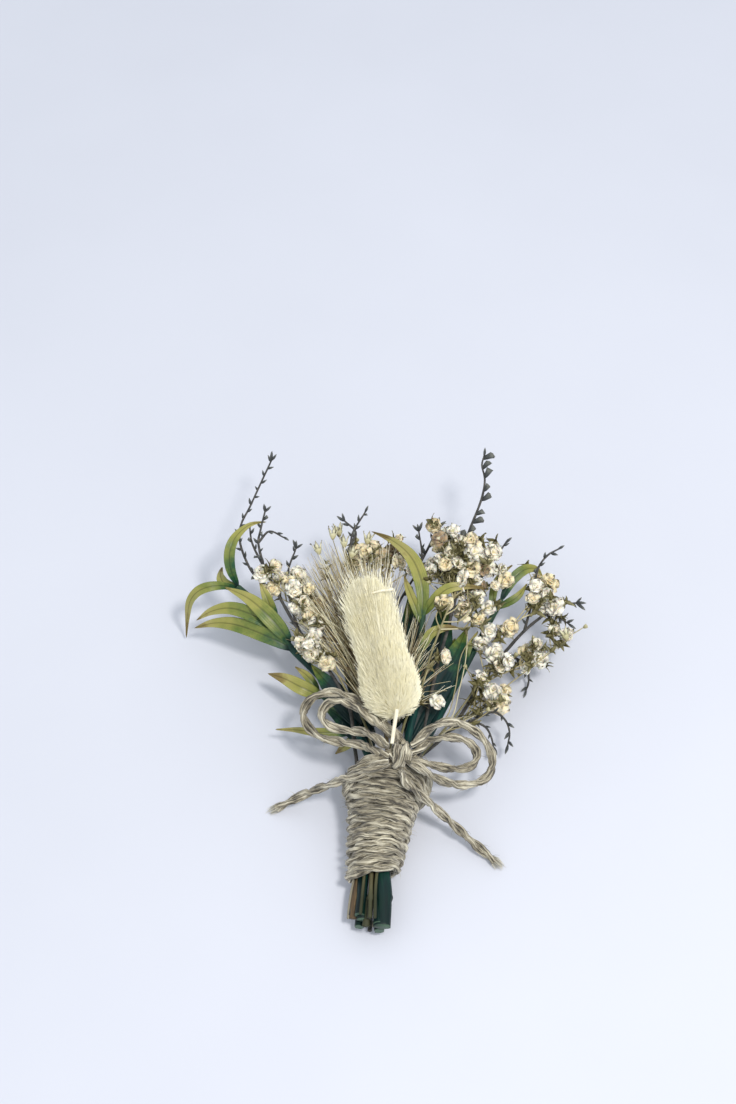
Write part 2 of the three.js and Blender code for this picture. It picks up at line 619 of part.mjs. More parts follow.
// The hairs are raised from the head's core by a formula: every second point of the surface is drawn
// out and forward, so that each makes one pointed tuft.
function makeBunnyTail() {
  const piece = new Piece("bunny_tail", 0xe9e2c4, 1);
  const draw = seeded(7);
  const axis = HEAD_TIP.clone().sub(HEAD_BASE).normalize();
  const { side, normal } = sideways(axis, UP);
  const rings = [[HEAD_BASE.clone()]];
  for (let row = 1; row < TUFT_ROWS; row++) {
    const share = row / TUFT_ROWS;
    const full = HEAD_WIDE * profileAt(share);
    const ring = [];
    for (let i = 0; i < TUFT_SIDES; i++) {
      const angle = (i / TUFT_SIDES) * 2 * Math.PI;
      const tuft = (row + i) % 2 === 0;
      const radius = tuft ? full * (0.92 + 0.08 * draw()) : full * 0.68;
      const forward = tuft ? 1.8 + 1.4 * share * draw() : 0;
      ring.push(
        HEAD_BASE.clone()
          .addScaledVector(axis, share * (HEAD_LONG - 3) + forward)
          .addScaledVector(side, radius * Math.cos(angle))
          .addScaledVector(normal, radius * Math.sin(angle)),
      );
    }
    rings.push(ring);
  }
  rings.push([HEAD_BASE.clone().addScaledVector(axis, HEAD_LONG - 3)]);
  piece.track([HEAD_BASE.clone().addScaledVector(axis, 6.5), HEAD_BASE.clone().addScaledVector(axis, HEAD_LONG - 6)], HEAD_WIDE);
  piece.track([HEAD_BASE.clone().addScaledVector(axis, 2.5), HEAD_BASE.clone().addScaledVector(axis, HEAD_LONG - 3)], 0.78 * HEAD_WIDE);
  piece.add(loft(rings));
  piece.stem(TAIL_STALK, 0.45, 0.45, 5);
  return piece.finish();
}

// ---------------------------------------------------------------- bearded grass

const EAR = {
  stem: [[2.2, -14, 13.4], [1.6, -6, 14.2], [0.4, 2, 14.6]],
  body: [[0.8, 0, 14.5], [-0.4, 6, 15.2], [-1.8, 12, 16]],
  // Tips of the awns: those that fan to the left, past the tip, and to the right.
  left: [[-19, 17.5, 15.4], [-18.4, 20.5, 16.4], [-17.6, 23, 17.4], [-15.2, 24.6, 18.4], [-12.6, 26, 19.4], [-10.6, 27.6, 20]],
  top: [[-8.6, 28.4, 20.6], [-5.4, 27.4, 19], [-2.4, 28.4, 18.8], [0.6, 27.8, 18.8], [3.6, 27, 18.6], [5, 24.6, 17.6]],
  right: [[17.2, 3.2, 16.6], [16.4, 6.8, 16.8], [14.6, 10.6, 17], [13.6, 15.6, 18]],
};

function makeGrass() {
  const piece = new Piece("bearded_grass", 0xb69a63, 0.9);
  piece.stem([...bundled("bearded_grass"), ...points(EAR.stem)], 0.5, 0.42, 4);
  piece.leaf(points(EAR.body), 3.4, FRONT, 6);
  const body = new THREE.CatmullRomCurve3(points(EAR.body), false, "centripetal");
  const tips = points([...EAR.left, ...EAR.top, ...EAR.right]);
  tips.forEach((tip, k) => {
    const root = body.getPoint(0.12 + 0.76 * ((k * 0.382) % 1));
    for (const lift of [0.5, 1.5, 2.5, -0.5, -1.5, 3.5, -3, 5]) {
      const middle = root.clone().lerp(tip, 0.5).addScaledVector(UP, lift * 0.6);
      if (!isClear([root, middle, tip], AWN)) continue;
      piece.stem([root, middle, tip], AWN, 0.14, 3);
      return;
    }
  });
  return piece.finish();
}

// ---------------------------------------------------------------- baby's breath

// Each spray: its stem past the wrap, and the middles of its flowers.
const BREATH = {
  babys_breath_left: {
    stem: [[-2.6, -15, 15.6], [-8, -4, 15.4], [-12, 5, 15.4], [-15.6, 12, 16], [-18.6, 19, 17]],
    flowers: [
      [-27, 23, 19.6], [-24, 25.5, 19], [-22.5, 23.5, 17], [-18.5, 23.8, 17.4], [-20.5, 21, 18],
      [-19, 18, 18.4], [-17, 16.2, 18], [-14, 16.2, 16.6], [-15, 12.8, 17.4], [-13.4, 9.6, 17],
      [-14.5, 6.6, 17.4], [-17, 4.6, 17], [-14.8, 2.6, 16.8], [-11.5, 0.2, 16.4],
    ],
  },
  babys_breath_top: {
    stem: [[3.6, -12, 8.4], [3.4, 5, 11], [1.4, 18, 14.4], [-0.6, 27, 16.4]],
    flowers: [
      [-14, 31.5, 17.6], [-10.5, 35.5, 18], [-7.8, 33.2, 17.6], [-3.4, 31.6, 18], [-0.8, 33.4, 17],
      [1.6, 29.6, 17.6], [4, 31.4, 17], [5.6, 27.6, 17.4],
    ],
  },
  babys_breath_right: {
    stem: [[6.8, -14, 16], [9.6, -9, 17.2], [12.8, 2, 18.6], [16.8, 13, 20], [20, 21, 21]],
    flowers: [
      [17, 32, 22.6], [19, 28.5, 24], [15.4, 29.5, 24], [15.5, 25, 22.6], [12.5, 23, 20.4], [23, 25.5, 25],
      [27.5, 26.6, 23.2], [25, 22.5, 22], [22.2, 22.4, 23], [19, 22.6, 23], [24, 19.8, 19.6],
      [16.4, 21.6, 20], [30.5, 21.5, 18.8], [23.5, 16.5, 19], [26.2, 14.6, 17.6], [16, 14.6, 20],
      [20.4, 13.6, 18.4], [24, 11.4, 17.4],
    ],
  },
  babys_breath_low_right: {
    stem: [[10.4, -17.4, 4.8], [17.8, -8.8, 6.4], [24.4, 0.4, 9.2], [29.2, 9, 11.4], [33.6, 15, 13]],
    flowers: [
      [41, 22.5, 16.4], [38.4, 23, 13.6], [40.4, 19.4, 15.4], [37, 18, 16], [42, 16.6, 15], [26.4, 10.4, 14],
      [31.5, 11.5, 14], [28, 5, 13], [28.5, 1.6, 12], [24.5, -1.5, 12.4], [27, -3.8, 11], [28.6, -6.4, 9.6],
      [37.6, 8, 11.4], [38.4, 5, 10.6], [45, 10.5, 12],
    ],
  },
};
const BENDS = [0, 1.2, 2.4, 3.6, 5]; // how far a stalk may bow out round what is in its way
const BEND_WAYS = 8;
// Small moves that a flower may make to lie clear, in the order they are tried.
const SHIFTS = points([
  [0, 0, 0], [0, 0, 0.8], [0, 0, -0.8], [0.9, 0, 0.5], [-0.9, 0, 0.5], [0, 0.9, 0.5], [0, -0.9, 0.5],
  [0, 0, 1.8], [0, 0, -1.8], [1.6, 0, 1], [-1.6, 0, 1], [0, 1.6, 1], [0, -1.6, 1], [0, 0, 3],
]);

// A route from root to tip that keeps clear of every settled piece, bowed out where it has to be.
function clearRoute(root, tip, radius) {
  const { side, normal } = sideways(tip.clone().sub(root).normalize(), FRONT);
  for (const bend of BENDS) {
    for (let way = 0; way < (bend === 0 ? 1 : BEND_WAYS); way++) {
      const angle = (way / BEND_WAYS) * 2 * Math.PI + Math.PI / 2;
      const middle = root
        .clone()
        .lerp(tip, 0.5)
        .addScaledVector(side, bend * Math.cos(angle))
        .addScaledVector(normal, bend * Math.sin(angle));
      const path = [root, middle, tip];
      if (isClear(path, radius)) return path;
    }
  }
  return null;
}

// Each flower's stalk grows from the nearest spot that lies behind it on the stem or on an older stalk.
function makeBreath(name, spray, seed) {
  const piece = new Piece(name, 0xeeead2, 0.95);
  const draw = seeded(seed);
  const stem = [...bundled(name), ...points(spray.stem)];
  piece.stem(stem, 0.45, 0.36, 4);
  const spots = [];
  for (let k = 3; k + 1 < stem.length; k++) {
    for (const share of [0.2, 0.45, 0.7, 0.95]) spots.push(stem[k].clone().lerp(stem[k + 1], share));
  }
  const order = points(spray.flowers).sort((a, b) => a.distanceTo(stem[3]) - b.distanceTo(stem[3]));
  for (const wanted of order) {
    for (const shift of SHIFTS) {
      const centre = wanted.clone().add(shift);
      const facing = at(draw() - 0.5, -0.35 + 0.4 * (draw() - 0.5), 0.9).normalize();
      const calyx = centre.clone().addScaledVector(facing, -0.55 * BLOOM);
      if (!isClear([calyx, centre], 0.95 * BLOOM)) continue;
      const roots = spots
        .filter((spot) => spot.y < calyx.y - 1.5)
        .sort((a, b) => a.distanceTo(calyx) - b.distanceTo(calyx));
      const path = roots
        .slice(0, 6)
        .map((root) => clearRoute(root, calyx, STALK))
        .find((found) => found);
      if (!path) continue;
      piece.stem(path, STALK, STALK, 3);
      piece.bloom(centre, facing, BLOOM * (0.9 + 0.14 * draw()), draw() * Math.PI);
      spots.push(path[1]);
      break;
    }
  }
  return piece.finish();
}

// ---------------------------------------------------------------- the whole boutonniere

const wrapped = [makeWrap(), makeKnot()];
const twines = Object.entries(BOW).map(([name, route]) => makeTwine(name, route));
const grown = [
  makeBunnyTail(),
  ...Object.entries(LEAFY).map(([name, spray]) => makeLeafy(name, spray)),
  ...Object.entries(LAVENDER).map(([name, plant], k) => makeLavender(name, plant, 11 + k)),
  makeGrass(),
  ...Object.entries(BREATH).map(([name, spray], k) => makeBreath(name, spray, 31 + k)),
];

// The origin is the middle of the box round all but the free twine, on the surface it lies on.
const boutonniere = new THREE.Group();
boutonniere.add(...wrapped, ...grown);
const box = new THREE.Box3().setFromObject(boutonniere);
boutonniere.add(...twines);
boutonniere.position.set(-(box.min.x + box.max.x) / 2, -(box.min.y + box.max.y) / 2, -box.min.z);

export default boutonniere;
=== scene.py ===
# %% [markdown]
# # A dried-flower boutonniere
# The real one is a small posy that is pinned to a jacket. A bunny-tail grass head lies in front of bearded
# grass, baby's breath, sea lavender and glossy leaf sprays, and jute twine binds the stems and ends in a
# bow. This lesson dresses the solid model, piece by piece, in the model's own frame and in metres.

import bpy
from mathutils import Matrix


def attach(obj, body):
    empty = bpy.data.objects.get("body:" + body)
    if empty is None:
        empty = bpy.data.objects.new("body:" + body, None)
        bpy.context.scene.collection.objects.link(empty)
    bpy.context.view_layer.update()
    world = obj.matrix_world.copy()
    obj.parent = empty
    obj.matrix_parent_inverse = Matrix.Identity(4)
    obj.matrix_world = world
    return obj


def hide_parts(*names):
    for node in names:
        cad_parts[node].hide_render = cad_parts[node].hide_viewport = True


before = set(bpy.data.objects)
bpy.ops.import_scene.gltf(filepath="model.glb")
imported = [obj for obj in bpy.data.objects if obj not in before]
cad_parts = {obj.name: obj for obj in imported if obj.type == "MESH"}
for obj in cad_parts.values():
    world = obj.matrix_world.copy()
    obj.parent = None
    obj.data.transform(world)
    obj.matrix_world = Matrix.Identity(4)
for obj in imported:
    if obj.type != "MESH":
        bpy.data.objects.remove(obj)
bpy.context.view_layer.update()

# %% Tools
import math

import bmesh
import bpy
import numpy as np
from mathutils import Matrix, Vector

# %% [markdown]
# ## One frame for everything
# The posy was drawn in millimetres, with X across it, Y from the cut stems to the tips and Z up. The packed
# model has its origin under the middle of its box, so each drawn point is moved by the same step and scaled.
# Long routes are written as text, because their numbers are easier to read without brackets.

# %% From the drawing to the frame
MM = 0.001
STEP = np.array([-1.619, 1.841, 0.0])
FULL_TURN = 2 * math.pi


def drawn(text):
    """Points in millimetres, written as x y z with a comma between two points."""
    return [[float(number) for number in point.split()] for point in text.split(",")]


def placed(points):
    """Drawn points in millimetres as points of the frame in metres."""
    return (np.asarray(points, float) + STEP) * MM


print("the drawing's origin lies at", placed([0, 0, 0]))

# %% [markdown]
# ## Camera
# The camera looks down at the posy from the side of the cut stems, at sixty degrees. Two small turns put
# the drawing's origin below the picture's middle and a touch to the right of it.

# %% Make the camera
IMAGE_HIGH, FOCAL_PIXELS = 1104, 1764.0
SENSOR = 36.0
DISTANCE, LOOK_DOWN = 420.0, math.radians(60)
BELOW_MIDDLE, RIGHT_OF_MIDDLE = 148.0, 8.0


def turned(vector, axis, pixels):
    """A direction turned until what it meets has moved by so many pixels."""
    return Matrix.Rotation(math.atan(pixels / FOCAL_PIXELS), 3, axis) @ vector


right = Vector((1, 0, 0))
raised = turned(Vector((0, math.cos(LOOK_DOWN), -math.sin(LOOK_DOWN))), right, BELOW_MIDDLE)
up = right.cross(raised)
aim = turned(raised, up, RIGHT_OF_MIDDLE)
right = aim.cross(up).normalized()
camera = bpy.data.objects.new("camera", bpy.data.cameras.new("camera"))
camera.data.sensor_width = SENSOR
camera.data.lens = SENSOR * FOCAL_PIXELS / IMAGE_HIGH
stand = placed([0, -DISTANCE * math.cos(LOOK_DOWN), DISTANCE * math.sin(LOOK_DOWN)])
facing = Matrix((right, right.cross(aim), -aim)).transposed()
camera.matrix_world = Matrix.Translation(stand) @ facing.to_4x4()
bpy.context.scene.collection.objects.link(camera)
bpy.context.scene.camera = camera
print("camera at", stand, "with a lens of", round(camera.data.lens, 2), "mm")

# %% [markdown]
# ## Building node trees in a few words
# Finishes and Geometry Nodes recipes are both trees of nodes. `tree`
# is always the one in work. The helpers add nodes to it and fill their
# sockets, either with a value or with the output of an earlier node.

# %% Helpers for nodes


def wire(value, socket):
    """Fills a socket with a value, an output or a node's first open output."""
    if isinstance(value, bpy.types.Node):
        value = next(s for s in value.outputs if s.enabled)
    if isinstance(value, bpy.types.NodeSocket):
        tree.links.new(value, socket)
    else:
        socket.default_value = value


def put(kind, *values, **named):
    """Adds a node. Values fill its open sockets in turn. A Capital_name is a socket, others are choices."""
    node = tree.nodes.new(kind)
    for name in filter(str.islower, named):
        setattr(node, name, named[name])
    in_use = [s for s in node.inputs if s.enabled]
    for socket, value in zip(in_use, values):
        if value is not None:
            wire(value, socket)
    for name, value in named.items():
        if not name.islower():
            wire(value, next(s for s in in_use if s.name == name.replace("_", " ")))
    return node


def sums(operation, *values):
    return put("ShaderNodeMath", *values, operation=operation)


def vectors(operation, *values, **named):
    return put("ShaderNodeVectorMath", *values, operation=operation, **named)


def scaled(vector, amount):
    return vectors("SCALE", vector, Scale=amount)


def noisy(vector, scale, detail=4.0, roughness=0.6):
    noise = put("ShaderNodeTexNoise", Vector=vector, Scale=scale, Detail=detail, Roughness=roughness)
    return noise.outputs[0]


# %% [markdown]
# ## Recipes
# What repeats or follows a path is made with Geometry Nodes. A recipe reads a guide: bare lines or points
# that carry their own facts, such as a thickness or a direction. A recipe has named sizes, ends in Realize
# Instances and Set Material, and its result is kept as a plain mesh.

# %% Recipes
SOCKETS = {bool: "NodeSocketBool", int: "NodeSocketInt", float: "NodeSocketFloat"}
SOCKETS |= {bpy.types.Material: "NodeSocketMaterial", bpy.types.Collection: "NodeSocketCollection"}


def new_recipe(title, **sizes):
    """A tree with a geometry in, a geometry out and the named sizes. A size is a value or a kind of data."""
    recipe = bpy.data.node_groups.new(title, "GeometryNodeTree")
    recipe.interface.new_socket("Geometry", in_out="INPUT", socket_type="NodeSocketGeometry")
    for name, value in sizes.items():
        kind = value if isinstance(value, type) else type(value)
        name = name.replace("_", " ")
        socket = recipe.interface.new_socket(name, in_out="INPUT", socket_type=SOCKETS[kind])
        if value is not kind:
            socket.default_value = value
    recipe.interface.new_socket("Geometry", in_out="OUTPUT", socket_type="NodeSocketGeometry")
    return recipe, recipe.nodes.new("NodeGroupInput").outputs


def serve(geometry, finish, smooth=True):
    """The end of each recipe: real geometry, its shading and one material."""
    real = put("GeometryNodeRealizeInstances", geometry)
    smooth = put("GeometryNodeSetShadeSmooth", real, Shade_Smooth=smooth)
    put("NodeGroupOutput", put("GeometryNodeSetMaterial", smooth, Material=finish))
    print("the recipe", tree.name, "has", len(tree.nodes), "nodes")
    return tree


def fact(name, kind="FLOAT"):
    return put("GeometryNodeInputNamedAttribute", Name=name, data_type=kind)


def note(geometry, name, value, kind="FLOAT"):
    """Stores a value on the points under a name that a finish can read."""
    return put("GeometryNodeStoreNamedAttribute", geometry, Name=name, Value=value, data_type=kind)


def spot():
    return put("GeometryNodeInputPosition")


def outward():
    return put("GeometryNodeInputNormal").outputs["Normal"]


def moved(geometry, offset):
    return put("GeometryNodeSetPosition", geometry, Offset=offset)


def joined(*geometries):
    whole = put("GeometryNodeJoinGeometry")
    for geometry in geometries:
        wire(geometry, whole.inputs[0])
    return whole


def chance(low, high, seed, **choices):
    return put("FunctionNodeRandomValue", low, high, Seed=seed, **choices)


def ring(sides, radius=1.0):
    return put("GeometryNodeCurvePrimitiveCircle", Resolution=sides, Radius=radius)


def arc(steps, middle, end):
    return put("GeometryNodeCurveQuadraticBezier", Resolution=steps, Start=(0, 0, 0), Middle=middle, End=end)


def tube(line, section, thick):
    return put("GeometryNodeCurveToMesh", line, section, Scale=thick, Fill_Caps=True)


def aimed_at(vector, **more):
    return put("FunctionNodeAlignRotationToVector", Vector=vector, **more)


# %% Guides


def new_piece(name, mesh):
    piece = bpy.data.objects.new(name, mesh)
    bpy.context.scene.collection.objects.link(piece)
    return piece


def add_facts(mesh, facts):
    """Facts about the points, each as one value or one triple a point."""
    for name, values in facts.items():
        values = np.asarray(values)
        kind = "FLOAT_VECTOR" if values.ndim == 2 else "INT" if values.dtype.kind == "i" else "FLOAT"
        attribute = mesh.attributes.new(name, kind, "POINT")
        flat = values.ravel() if kind == "INT" else values.ravel().astype(np.float32)
        attribute.data.foreach_set("vector" if kind == "FLOAT_VECTOR" else "value", flat)


def guide(lines, **facts):
    """Lines of points as a bare mesh with facts."""
    edges = []
    start = 0
    for line in lines:
        edges += [(start + k, start + k + 1) for k in range(len(line) - 1)]
        start += len(line)
    mesh = bpy.data.meshes.new("guide")
    mesh.from_pydata(np.vstack(lines).tolist(), edges, [])
    add_facts(mesh, facts)
    return new_piece("guide", mesh)


def grow(source, recipe, name, **sizes):
    """Runs a recipe over a guide or a core and keeps the result as one plain mesh."""
    modifier = source.modifiers.new(recipe.name, "NODES")
    modifier.node_group = recipe
    for item in recipe.interface.items_tree:
        key = item.name.replace(" ", "_")
        if item.in_out == "INPUT" and key in sizes:
            modifier[item.identifier] = sizes[key]
    graph = bpy.context.evaluated_depsgraph_get()
    grown = source.evaluated_get(graph)
    mesh = bpy.data.meshes.new_from_object(grown, preserve_all_data_layers=True, depsgraph=graph)
    source.modifiers.remove(modifier)
    bpy.data.objects.remove(source)
    mesh.name = name
    mesh.calc_loop_triangles()
    print(name, "has", len(mesh.loop_triangles), "triangles")
    return new_piece(name, mesh)


def belongs(slot, *pieces, node=None):
    """Puts pieces on the one body and hides the solid node in their place; the slot is not used."""
    for piece in pieces:
        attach(piece, "root")
    if node:
        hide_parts(node)


# %% [markdown]
# ## Smooth lines
# Stems, leaves and twine all run along a few drawn points. A centripetal Catmull-Rom curve passes through
# every one of them without loops or overshoot, so a drawn route comes out as one gentle line.

# %% A curve through drawn points


def curved(route, steps=6):
    """Points on the curve through the route, with so many steps from one drawn point to the next."""
    p = np.asarray(route, float)
    p = np.vstack([2 * p[0] - p[1], p, 2 * p[-1] - p[-2]])
    line = []
    for a, b, c, d in zip(p, p[1:], p[2:], p[3:]):
        before, span, after = (np.linalg.norm(y - x) ** 0.5 for x, y in ((a, b), (b, c), (c, d)))
        leave = ((b - a) / before - (c - a) / (before + span) + (c - b) / span) * span
        reach = ((c - b) / span - (d - b) / (span + after) + (d - c) / after) * span
        for t in np.arange(steps) / steps:
            rise = 3 * (c - b) - 2 * leave - reach
            turn = 2 * (b - c) + leave + reach
            line.append(b + leave * t + rise * t**2 + turn * t**3)
    return np.array([*line, p[-2]])


def length_of(line):
    return float(np.linalg.norm(np.diff(line, axis=0), axis=1).sum())


def unit(vector):
    vector = np.asarray(vector, float)
    return vector / np.linalg.norm(vector)


# %% [markdown]
# ## Finishes
# Each finish is a tree of shader nodes on the piece's own coordinates, in
# metres, or on facts that its recipe stored on the mesh. Colour, gloss and
# fine relief all vary, because no grown or spun thing is one flat colour.

# %% Helpers for finishes


def new_finish(title, **settings):
    """A material, its tree and its shader. Settings are values that are the same all over."""
    finish = bpy.data.materials.new(title)
    finish.use_nodes = True
    shader = next(n for n in finish.node_tree.nodes if n.type == "BSDF_PRINCIPLED")
    for name, value in settings.items():
        shader.inputs[name.replace("_", " ")].default_value = value
    print("making the finish", title)
    return finish, finish.node_tree, shader


def shade(red, green, blue):
    """An everyday screen colour, from 0 to 255 a channel, as the linear colour that a shader wants."""
    channels = [channel / 255 for channel in (red, green, blue)]
    return (*(c / 12.92 if c <= 0.04045 else ((c + 0.055) / 1.055) ** 2.4 for c in channels), 1.0)


def ramp(value, *stops):
    """Colours that blend into one another. A stop is a place from 0 to 1 and its red, green and blue."""
    node = put("ShaderNodeValToRGB", value)
    elements = node.color_ramp.elements
    stops = [(place, shade(*colour)) for place, *colour in stops]
    elements[0].position, elements[0].color = stops[0]
    elements[1].position, elements[1].color = stops[-1]
    for place, colour in stops[1:-1]:
        elements.new(place).color = colour
    return node


def blend(amount, low, high, kind="MIX"):
    return put("ShaderNodeMix", amount, low, high, data_type="RGBA", blend_type=kind)


def own_place():
    return put("ShaderNodeTexCoord").outputs["Object"]


def streaked(across, along, detail=4.0):
    """Noise drawn out along Y, as the grain of a stem."""
    return noisy(put("ShaderNodeMapping", own_place(), Scale=(across, along, across)), 1.0, detail)


def stored(name, output="Fac"):
    return put("ShaderNodeAttribute", attribute_name=name).outputs[output]


def paint(colour):
    wire(colour, shader.inputs["Base Color"])


def relief(height, strength, depth):
    bump = put("ShaderNodeBump", Strength=strength, Distance=depth, Height=height)
    wire(bump, shader.inputs["Normal"])


# %% [markdown]
# ## Twine
# Jute twine is two loose plies laid round each other, each a bundle of dull, grey-brown fibres with paler
# ones on top. It could be one tube with a bump, but its outline would be too clean. So the recipe runs two
# real plies in a helix along the guide, roughens them, and lets loose fibres stand off.

# %% The finish of twine
jute, tree, shader = new_finish("jute twine", Roughness=0.88, Sheen_Weight=0.25, Sheen_Roughness=0.6)
round_ply = put("ShaderNodeSeparateXYZ", stored("round", "Vector"))
along = sums("MULTIPLY", stored("along"), 260.0)
across = [sums("MULTIPLY", round_ply.outputs[axis], 1.5) for axis in (0, 1)]
fibres = noisy(put("ShaderNodeCombineXYZ", along, *across), 1.0, 7.0, 0.66)
colour = ramp(
    fibres, (0.385, 46, 42, 35), (0.46, 124, 117, 101), (0.535, 188, 182, 163), (0.64, 238, 235, 219)
)
patches = ramp(noisy(own_place(), 160.0, 3.0), (0.35, 206, 202, 192), (0.65, 255, 252, 244))
paint(blend(1.0, colour, patches, "MULTIPLY"))
relief(fibres, 0.9, 0.0003)

# %% The recipe for twine: two plies
PLY_OUT, PLY_ROUND, PLY_SIDES = 0.24, 0.3, 14
YARNS = 5
YARN_DEEP, ROUGH_DEEP = 0.11, 0.00016

tree, given = new_recipe(
    "Twine",
    Thickness=0.002,
    Lay=0.0125,
    Step=0.00045,
    Loose_fibres=150000.0,
    Fibre_length=0.0014,
    Seed=1,
    Finish=bpy.types.Material,
)
line = put("GeometryNodeMeshToCurve", given["Geometry"])
line = put("GeometryNodeResampleCurve", line, Length=given["Step"], mode="LENGTH")
gone = put("GeometryNodeSplineParameter").outputs["Length"]
heading = put("GeometryNodeInputTangent")
normal = outward()
line = note(note(line, "along", gone), "heading", heading, "FLOAT_VECTOR")
section = note(ring(PLY_SIDES), "round", spot(), "FLOAT_VECTOR")
yarns = sums("SINE", sums("MULTIPLY", put("GeometryNodeInputIndex"), FULL_TURN * YARNS / PLY_SIDES))
section = moved(section, scaled(spot(), sums("MULTIPLY", yarns, YARN_DEEP)))
wander = noisy(spot(), 420.0, 2.0)
turns = sums("ADD", sums("DIVIDE", gone, given["Lay"]), sums("MULTIPLY", wander, 0.5))
plies = []
for ply in range(2):
    angle = sums("MULTIPLY", sums("ADD", turns, ply / 2), FULL_TURN)
    up = scaled(normal, sums("COSINE", angle))
    sideways = scaled(vectors("CROSS_PRODUCT", heading, normal), sums("SINE", angle))
    away = scaled(vectors("ADD", up, sideways), sums("MULTIPLY", given["Thickness"], PLY_OUT))
    swell = sums("MULTIPLY_ADD", wander, 0.5, 0.75)
    swell = sums("MULTIPLY", swell, sums("MULTIPLY", given["Thickness"], PLY_ROUND))
    plies.append(tube(moved(line, away), section, swell))
rough = sums("SUBTRACT", noisy(spot(), 2600.0, 2.0), 0.5)
body = moved(joined(*plies), scaled(outward(), sums("MULTIPLY", rough, ROUGH_DEEP)))

# %% The recipe for twine: loose fibres
scatter = put("GeometryNodeDistributePointsOnFaces", body, Density=given["Loose fibres"], Seed=given["Seed"])
jitter = chance((-1, -1, -1), (1, 1, 1), given["Seed"], data_type="FLOAT_VECTOR")
lean = vectors("ADD", fact("heading", "FLOAT_VECTOR"), jitter)
lean = vectors("ADD", lean, vectors("MULTIPLY", scatter.outputs["Normal"], (0.45, 0.45, 0.45)))
taper = sums("SUBTRACT", 1.15, put("GeometryNodeSplineParameter").outputs["Factor"])
fibre = tube(arc(3, (0.0, 0.25, 0.5), (0, 0, 1)), ring(3, 0.026), taper)
loose = put(
    "GeometryNodeInstanceOnPoints",
    Points=scatter.outputs["Points"],
    Instance=fibre,
    Rotation=aimed_at(lean),
    Scale=sums("MULTIPLY", chance(0.5, 1.5, given["Seed"]), given["Fibre length"]),
)
twine_recipe = serve(joined(body, loose), given["Finish"])

# %% [markdown]
# ## The bow
# The bow is the free part of the twine: two loops on each side of the knot,
# and two tails that come down to the table. Each is a real cord, so it
# keeps the route and length of the solid model.

# %% Routes of the bow
TWINE = 2.0
BOW = {
    "bow_loop_left_outer": (
        "2.8 -25.9 19.5, 1.4 -25.2 19.5, -0.7 -23.3 18.6, -4 -21.2 17.1, -8 -20 15.9, -12.6 -18.2 15, "
        "-15.5 -15.2 14.8, -16.4 -11.8 15.3, -14.4 -8.9 16.3, -10.6 -8 17.3, -6.4 -9.4 18.2, "
        "-2.2 -12.6 18.6, 1.8 -16.9 18.7, 4.9 -20.2 19.1, 6.5 -22.4 19.4"
    ),
    "bow_loop_left_inner": (
        "2.8 -24 21.5, 1.5 -23.3 21.4, -0.2 -21.4 20.8, -2.8 -19.6 19.8, -6.5 -18.5 18.5, -10.2 -17.2 18, "
        "-12.2 -14.7 18.3, -10.9 -12.2 19.3, -7.4 -12 20.2, -4 -14 20.6, -1.1 -16.7 20.7, 2.2 -19.6 20.7, "
        "4 -21.2 20.8, 4.7 -22.4 20.9"
    ),
    "bow_loop_right_outer": (
        "7.7 -23.8 21.2, 9.2 -22.7 21.6, 11.4 -20.2 21.6, 15 -17.6 20.6, 18.7 -17 19.1, 22.2 -18.2 17.4, "
        "24.8 -20.4 15.6, 26 -23.3 13.8, 25.4 -26.1 12.6, 23.2 -28 12.2, 20 -29 12.7, 16.4 -29.4 14.2, "
        "12.9 -29.2 16.7, 10.2 -28.8 19.4, 8.9 -28.3 20.5, 7.7 -27.9 20.9"
    ),
    "bow_loop_right_inner": (
        "7.9 -24.5 18.9, 9.3 -23.7 19, 11.4 -21.4 18.8, 15 -19.8 17.6, 18.6 -19.2 16.2, 21.4 -19.9 14.7, "
        "22.6 -21.8 13.4, 21.8 -23.9 12.8, 19.2 -25.4 13.4, 15.8 -26.1 15, 12.4 -26.3 17, 9.8 -26.5 18.3, "
        "7.7 -26.7 18.7"
    ),
    "bow_tail_left": (
        "2.8 -27.8 20.9, 0.4 -28.3 20.4, -3.2 -28.7 18.2, -7.2 -28.4 14.2, -11.2 -27.6 9.4, "
        "-16.5 -27.4 4.6, -22.6 -29 1.1"
    ),
    "bow_tail_right": (
        "5.6 -29.4 20.1, 6.6 -31 17.7, 8.9 -31.8 14.8, 11.6 -32.4 11, 15.6 -34.2 6.8, 20.6 -37.4 3.2, "
        "26.5 -42 1.1"
    ),
}

# %% Make the bow
for seed, (node, route) in enumerate(BOW.items()):
    path = placed(curved(drawn(route), 4))
    cord = grow(guide([path]), twine_recipe, "twine_" + node, Seed=seed, Finish=jute)
    belongs("twine", cord, node=node)
    print(node, "is", round(length_of(path) / MM, 1), "mm long")

# %% [markdown]
# ## The wrap and the knot
# One long twine is wound about the stems from the cut ends up to the mouth of the
# posy. It is pressed flat where the posy lies, its turns rise towards the right, and
# the last ones cross under the knot. The same twine recipe makes it, because only
# the guide differs: a helix on a cone. A plain sleeve under it closes the gaps.

# %% Points on the wrap
WRAP_NARROW = np.array([-1.0, -49.0, 4.95])
WRAP_WIDE = np.array([2.5, -24.0, 8.85])
BORE_NARROW, BORE_WIDE = 4.25, 8.15
WRAP_HOLLOW = 1.35
WRAP_LONG = float(np.linalg.norm(WRAP_WIDE - WRAP_NARROW))
UP = np.array([0.0, 0.0, 1.0])


def sides_of(tangent, facing):
    """The two directions across a line, the second one on the side that it faces."""
    side = unit(np.cross(facing, tangent))
    return side, unit(np.cross(tangent, side))


